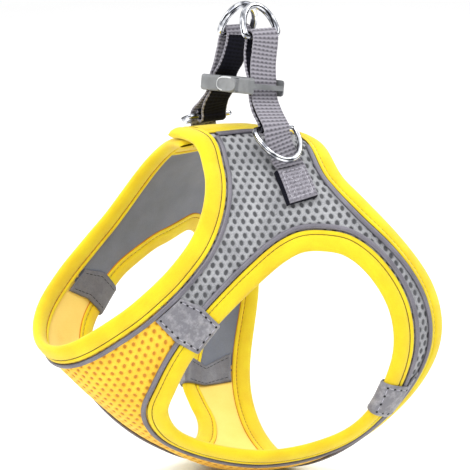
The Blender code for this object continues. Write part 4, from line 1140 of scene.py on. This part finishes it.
def strap_path(side):
    """Middle line of the webbing: off the wing, up, over the leash ring, down, round the small ring."""
    foot = patch_rows(side)[-1, 2]
    start = raised(np.array([foot[0] + SIGN[side] * 1.5, foot[1]]), PATCH_FOOT + PATCH_THICK / 2 + 0.5)
    points = [mirrored(start, side), *STRAP_FOOT]
    points += [(x + gap, y, z) for z, x, y, gap in STRAP_LAYERS]
    points += round_bar(LEASH_BAR, FOLD_RADIUS, (10, 50, 90, 130, 170))
    points += [(x - gap, y, z) for z, x, y, gap in STRAP_LAYERS[:0:-1]]
    points += round_bar(SIDE_BAR, EYE_RADIUS, (160, 200, 240, 280, 320, 360, 400, 430))
    points = np.array([mirrored(p, side) for p in points])
    chord = lengths(points)
    fine = smooth_rows(chord, points, np.linspace(0, chord[-1], 40 * len(points)))
    length = lengths(fine)
    wanted = np.linspace(0, length[-1], int(round(length[-1] / STRAP_STEP)) + 1)
    path = np.stack([np.interp(wanted, length, fine[:, k]) for k in range(3)], -1)
    back = unit(path[0] - path[1]) * STRAP_STEP
    return np.vstack([path[0] + back * np.arange(STRAP_START, 0, -1)[:, None], path])


def weave(across, along):
    """Relief from 0 to 1 of the webbing: rows of floats, with a pit between each pair of ribs."""
    turn = 2 * np.pi * across / YARN_ACROSS
    row = 0.5 + 0.5 * np.cos(2 * np.pi * (along / YARN_ALONG + 0.07 * np.cos(turn)))
    return 1 - (1 - row) ** 0.7 * (0.62 + 0.38 * (0.5 - 0.5 * np.cos(turn)))


def build_strap(side):
    name, path, rows = "strap_" + side, strap_path(side), patch_rows(side)
    length, tangent = lengths(path), unit(np.gradient(path, axis=0))
    first = raised(rows[-1, 0], PATCH_FOOT) - raised(rows[-1, 4], PATCH_FOOT)
    first *= np.sign(first[1]) / np.linalg.norm(first)
    edge = np.clip((WEBBING_WIDTH / 2 - np.abs(ACROSS)) / 0.7, 0, 1)
    half = WEBBING_THICK / 2 * (0.35 + 0.65 * np.sqrt(edge * (2 - edge)))
    over = path[:, 2] - PINCH_AT
    pinched = [length[k] for k in range(1, len(path)) if over[k] * over[k - 1] <= 0]
    points, shade = [], []
    for here, ahead, far in zip(path, tangent, length):
        twist = min(1.0, far / STRAP_TWIST)
        across = between(first, np.array([0, 1, 0]), twist)
        across = unit(across - ahead * (across @ ahead) * twist)
        normal = unit(np.cross(ahead, across))
        upper, lower = weave(ACROSS, far), weave(ACROSS, far + YARN_ALONG / 2)
        pinch = PINCH_DEPTH * sum(math.exp(-((far - seam) / 0.8) ** 2) for seam in pinched)
        flat, relief = here + across * ACROSS[:, None], 0.9 * RELIEF
        points += list(flat + normal * (half - relief * (1 - upper) - pinch)[:, None])
        points += list(flat - normal * (half - relief * (1 - lower))[:, None])[::-1]
        shade += [*upper, *lower[::-1]]
    # the inner layer is dark apart from its edges
    size, count, dark_from = 2 * WEB_LINES, len(path), int(np.argmax(path[:, 2])) + 14
    faces = ring_quads(count, size)
    which = [1 if q[0] // size > dark_from and 1 < q[0] % size % WEB_LINES < WEB_LINES - 3 else 0 for q in faces]
    thing = add_mesh(name + "_web", points, faces + end_caps(count, size), ["webbing", "webbing_dark"],
                     which + [0, 1], shade=shade)
    wear(thing, name)


def build_patch(side):
    """The sewn-down end: grey webbing with near-black sides, partly the dark layer beneath and partly painted shade
    of the raised patch, box stitched.
    """
    name, corner, rows = "webbing_patch_" + side, patch_rows(side), 49
    t, u = np.meshgrid(np.linspace(0, len(corner) - 1, rows), np.linspace(0, 4, WEB_LINES), indexing="ij")
    place = mixed(corner, t, u)
    length = lengths(raised(place[:, WEB_LINES // 2], 0))
    a, b = np.meshgrid(length, ACROSS, indexing="ij")
    relief = 0.55 * weave(b, a) + 0.45 * random.uniform(0, 1, a.shape)
    end = np.clip(np.minimum(a, a.max() - a) / 0.8, 0, 1)
    edge = np.clip((WEBBING_WIDTH / 2 - np.abs(b)) / 0.8, 0, 1)
    crown = np.sqrt(np.clip(end * (2 - end), 0, 1)) * np.sqrt(np.clip(edge * (2 - edge), 0, 1))
    seam = np.exp(-((np.abs(b) - SEAM_U) / 0.4) ** 2) * ((a > SEAM_V) & (a < a.max() - SEAM_V))
    seam = seam + np.exp(-((np.minimum(a, a.max() - a) - SEAM_V) / 0.4) ** 2) * (np.abs(b) < SEAM_U)
    top = PATCH_TOP - 0.55 * (1 - crown) - RELIEF * 0.8 * (1 - relief) - 0.25 * np.clip(seam, 0, 1)
    points, faces = list(raised(place, top).reshape(-1, 3)), grid_quads(rows, WEB_LINES)
    top_faces, last, shade = len(faces), border_of(rows, WEB_LINES), list(relief.ravel())
    border, size = np.array(last), len(last)
    near_y, far_y = (raised(place[rows // 2, k], 0)[1] for k in (0, WEB_LINES - 1))
    wider = np.where(border % WEB_LINES == (0 if near_y < far_y else WEB_LINES - 1), PATCH_SPREAD, 0.0)[:, None]
    here, centre = place.reshape(-1, 2)[border], place[border // WEB_LINES, WEB_LINES // 2]
    for height, flare in PATCH_SIDES:
        now = list(range(len(points), len(points) + size))
        points += list(raised(here + (here - centre) * wider * flare, PATCH_FOOT + height))
        shade += list(0.5 + 0.5 * np.sin(np.arange(size) * 1.9 + height * 5))
        faces += [(last[k], last[(k + 1) % size], now[(k + 1) % size], now[k]) for k in range(size)]
        last = now
    faces.append(tuple(last))
    # the sides take the near-black webbing, partly painted shade of the raised patch
    which = [0] * top_faces + [1] * (len(faces) - top_faces)
    thing = add_mesh(name + "_web", points, faces, ["webbing", "webbing_dark"], which, shade=shade)
    wear(thing, name)
    near, far, s = SEAM_V, length[-1] - SEAM_V, np.linspace(0, 1, 24)
    rows_of_stitches = []
    for ends_u, ends_v in (((-1, -1), (near, far)), ((1, 1), (near, far)), ((-1, 1), (near, near)),
                           ((-1, 1), (far, far)), ((-1, 1), (near, far)), ((1, -1), (near, far))):
        row = np.interp(between(*ends_v, s), length, np.arange(rows))
        column = np.interp(between(*ends_u, s) * SEAM_U, ACROSS, np.arange(WEB_LINES))
        line = raised(mixed(place, row, column), PATCH_TOP - 0.22)
        rows_of_stitches.append(thread_row(line, False, 1.7, 0.5, 0.19))
    thread = join_rows(name + "_thread", rows_of_stitches, "patch_thread")


for side in SIGN:
    build_strap(side)
    build_patch(side)

# ---------------------------------------------------------------- rings

LEASH_RING, SIDE_RING = (9.1, 15.0), (11.4, 18.0)      # half width and height, to the wire's middle
LEASH_RING_LEAN, SIDE_RING_LEAN = 117.0, {"left": -47.0, "right": -17.0}
RING_CORNER, RING_SIDES = 2.0, 18


def arc(middle, radii, start, end, count):
    t = np.radians(np.linspace(start, end, count))
    return np.stack([middle[0] + radii[0] * np.cos(t), middle[1] + radii[1] * np.sin(t)], -1)


def build_ring(name, side, bar, wire, half_width, height, lean):
    """A D-ring of round wire, butted and welded in the middle of its straight bar."""
    lean, c = math.radians(lean), RING_CORNER
    up = np.array([SIGN[side] * math.cos(lean), 0, math.sin(lean)])
    straight = np.linspace((0, 0), (half_width - c, 0), 9)
    line = np.vstack([
        straight[:-1], arc((half_width - c, c), (c, c), -90, 0, 9)[:-1],
        arc((0, c), (half_width, height - c), 0, 180, 61),
        arc((c - half_width, c), (c, c), 180, 270, 9)[1:], -straight[::-1][1:-1],
    ])
    points = mirrored(bar, side) + line[:, :1] * np.array([0, 1, 0]) + line[:, 1:] * up
    tangent = unit(np.roll(points, -1, axis=0) - np.roll(points, 1, axis=0))
    flat = np.cross((0, 1, 0), up)
    away = np.abs(line[:, 0]) + 10 * (line[:, 1] > 0.1)
    bead = 0.985 - 0.05 * np.exp(-((away / 0.25) ** 2)) + 0.012 * np.exp(-(((away - 0.9) / 0.5) ** 2))
    skin = [point + wire * size * (math.cos(t) * np.cross(ahead, flat) + math.sin(t) * flat)
            for point, ahead, size in zip(points, tangent, bead)
            for t in np.radians(np.arange(RING_SIDES) * 360 / RING_SIDES)]
    thing = add_mesh(name + "_wire", skin, ring_quads(len(points), RING_SIDES, True), ["chrome"])
    wear(thing, name, body=name)


for side in SIGN:
    build_ring("leash_ring_" + side, side, LEASH_BAR, LEASH_WIRE, *LEASH_RING, LEASH_RING_LEAN)
    build_ring("side_ring_" + side, side, SIDE_BAR, SIDE_WIRE, *SIDE_RING, SIDE_RING_LEAN[side])

# ---------------------------------------------------------------- buckle

BUCKLE_MIDDLE, BUCKLE_TILT, BUCKLE_NOD, BUCKLE_SIDE = (0.0, 0.6, 27.5), 3.0, 8.0, 10.0
PRONG_MIDDLE, PRONG_HALF_LENGTH, PRONG_HALF_HEIGHT = 1.85, 7.75, 3.6
# section of a prong's squeeze face: share of the oval, how far it stands out, and its coat, where 1 is the rim's
# pale painted highlight
PRONG_RINGS = (
    (1.0, -0.9, 0), (1.0, 0.2, 0), (0.985, 0.5, 1), (0.955, 0.7, 1), (0.90, 0.66, 0), (0.80, 0.44, 0),
    (0.5, 0.5, 0), (0.2, 0.46, 0),
)
RIM_SHOWS = (60, 250)                  # the pale painted highlight on the rim runs between these angles of the oval
for name in ("buckle_plug", "buckle_socket"):
    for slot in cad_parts[name].material_slots:
        slot.material = COAT["plastic"]


def on_buckle(points):
    """Points of the level buckle, tilted and nodded into place."""
    x, y, z = np.asarray(points, float).T
    nod, tilt = math.radians(-BUCKLE_NOD), math.radians(-BUCKLE_TILT)
    y, z = y * math.cos(nod) - z * math.sin(nod), y * math.sin(nod) + z * math.cos(nod)
    x, z = x * math.cos(tilt) + z * math.sin(tilt), z * math.cos(tilt) - x * math.sin(tilt)
    return np.stack([x, y, z], -1) + BUCKLE_MIDDLE


def build_prong(name, way):
    """The oval squeeze face of a prong, with its moulded rim, pale along part of its way round as a painted
    highlight.
    """
    degrees = np.arange(0, 360, 7.5)
    x, z = (np.sign(w) * np.abs(w) ** 0.72 for w in (np.cos(np.radians(degrees)), np.sin(np.radians(degrees))))
    # painted highlight: the pale coat goes only on this part of the rim
    rim = (degrees > RIM_SHOWS[0]) & (degrees < RIM_SHOWS[1])
    points, which, size = [], [], len(degrees)
    for share, out, coat in PRONG_RINGS:
        lift = 1 - (1 - share) * 2.2 if share > 0.6 else share * 0.85
        ring = [PRONG_MIDDLE + x * (PRONG_HALF_LENGTH - (1 - share) * 5.0),
                np.full(size, way * (BUCKLE_SIDE + out)), z * PRONG_HALF_HEIGHT * lift]
        points += list(on_buckle(np.stack(ring, -1)))
        which += list(np.where(rim, coat, 0))
    faces = ring_quads(len(PRONG_RINGS), size)
    faces.append(tuple((len(PRONG_RINGS) - 1) * size + k for k in range(size)))
    thing = add_mesh(name, points, faces, ["plastic_button", "plastic_rim_highlight"], [which[f[0]] for f in faces])
    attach(thing, "vest")


build_prong("squeeze_face_front", -1)
build_prong("squeeze_face_rear", 1)

# ---------------------------------------------------------------- stage

FLOOR_HALF, FLOOR_GAP = 6, 0.0005      # metres
SKY_STOPS, SKY_STRENGTH = ((0.02, 0.02), (0.42, 0.02), (0.55, 1.0)), 1.35     # height in the sky, grey
# lamps: name, place in metres, size, power
LAMPS = (
    ("key", (0.55, -0.75, 0.85), 0.9, 12), ("fill", (-0.9, -0.5, 0.45), 1.0, 6), ("back", (0.3, 0.9, 0.8), 0.9, 8),
)


def make_floor():
    mesh = bpy.data.meshes.new("floor")
    bm = bmesh.new()
    bmesh.ops.create_grid(bm, x_segments=8, y_segments=8, size=FLOOR_HALF)
    bm.to_mesh(mesh)
    bm.free()
    floor = bpy.data.objects.new("floor", mesh)
    floor.location = (0, 0, CAD_BOX[0].z - FLOOR_GAP)
    bpy.context.scene.collection.objects.link(floor)
    paint = Coat("floor_paint", (246, 246, 246), 0.7)
    paint.colour(paint.ramp(paint.noise(400), (250, 250, 250), (253, 253, 253), 0.3, 0.7))
    mesh.materials.append(paint.made)


def make_sky():
    """A pale studio, dark below the eye so that the chrome has something to show."""
    world = bpy.data.worlds.new("studio")
    world.use_nodes = True
    nodes, links = world.node_tree.nodes, world.node_tree.links
    where, split = nodes.new("ShaderNodeTexCoord"), nodes.new("ShaderNodeSeparateXYZ")
    sky = nodes.new("ShaderNodeValToRGB")
    for index, (position, grey) in enumerate(SKY_STOPS):
        stop = sky.color_ramp.elements[index] if index < 2 else sky.color_ramp.elements.new(position)
        stop.position, stop.color = position, (grey, grey, grey, 1)
    links.new(where.outputs["Generated"], split.inputs[0])
    links.new(split.outputs["Z"], sky.inputs["Fac"])
    links.new(sky.outputs["Color"], nodes["Background"].inputs["Color"])
    nodes["Background"].inputs["Strength"].default_value = SKY_STRENGTH
    bpy.context.scene.world = world


def make_lamps():
    for name, place, size, power in LAMPS:
        lamp = bpy.data.lights.new(name, "AREA")
        lamp.energy, lamp.size = power, size
        thing = bpy.data.objects.new(name, lamp)
        thing.location = place
        thing.rotation_euler = (TARGET - Vector(place)).to_track_quat("-Z", "Y").to_euler()
        bpy.context.scene.collection.objects.link(thing)


bpy.context.scene.view_settings.view_transform = "Standard"
make_floor()
make_sky()
make_lamps()
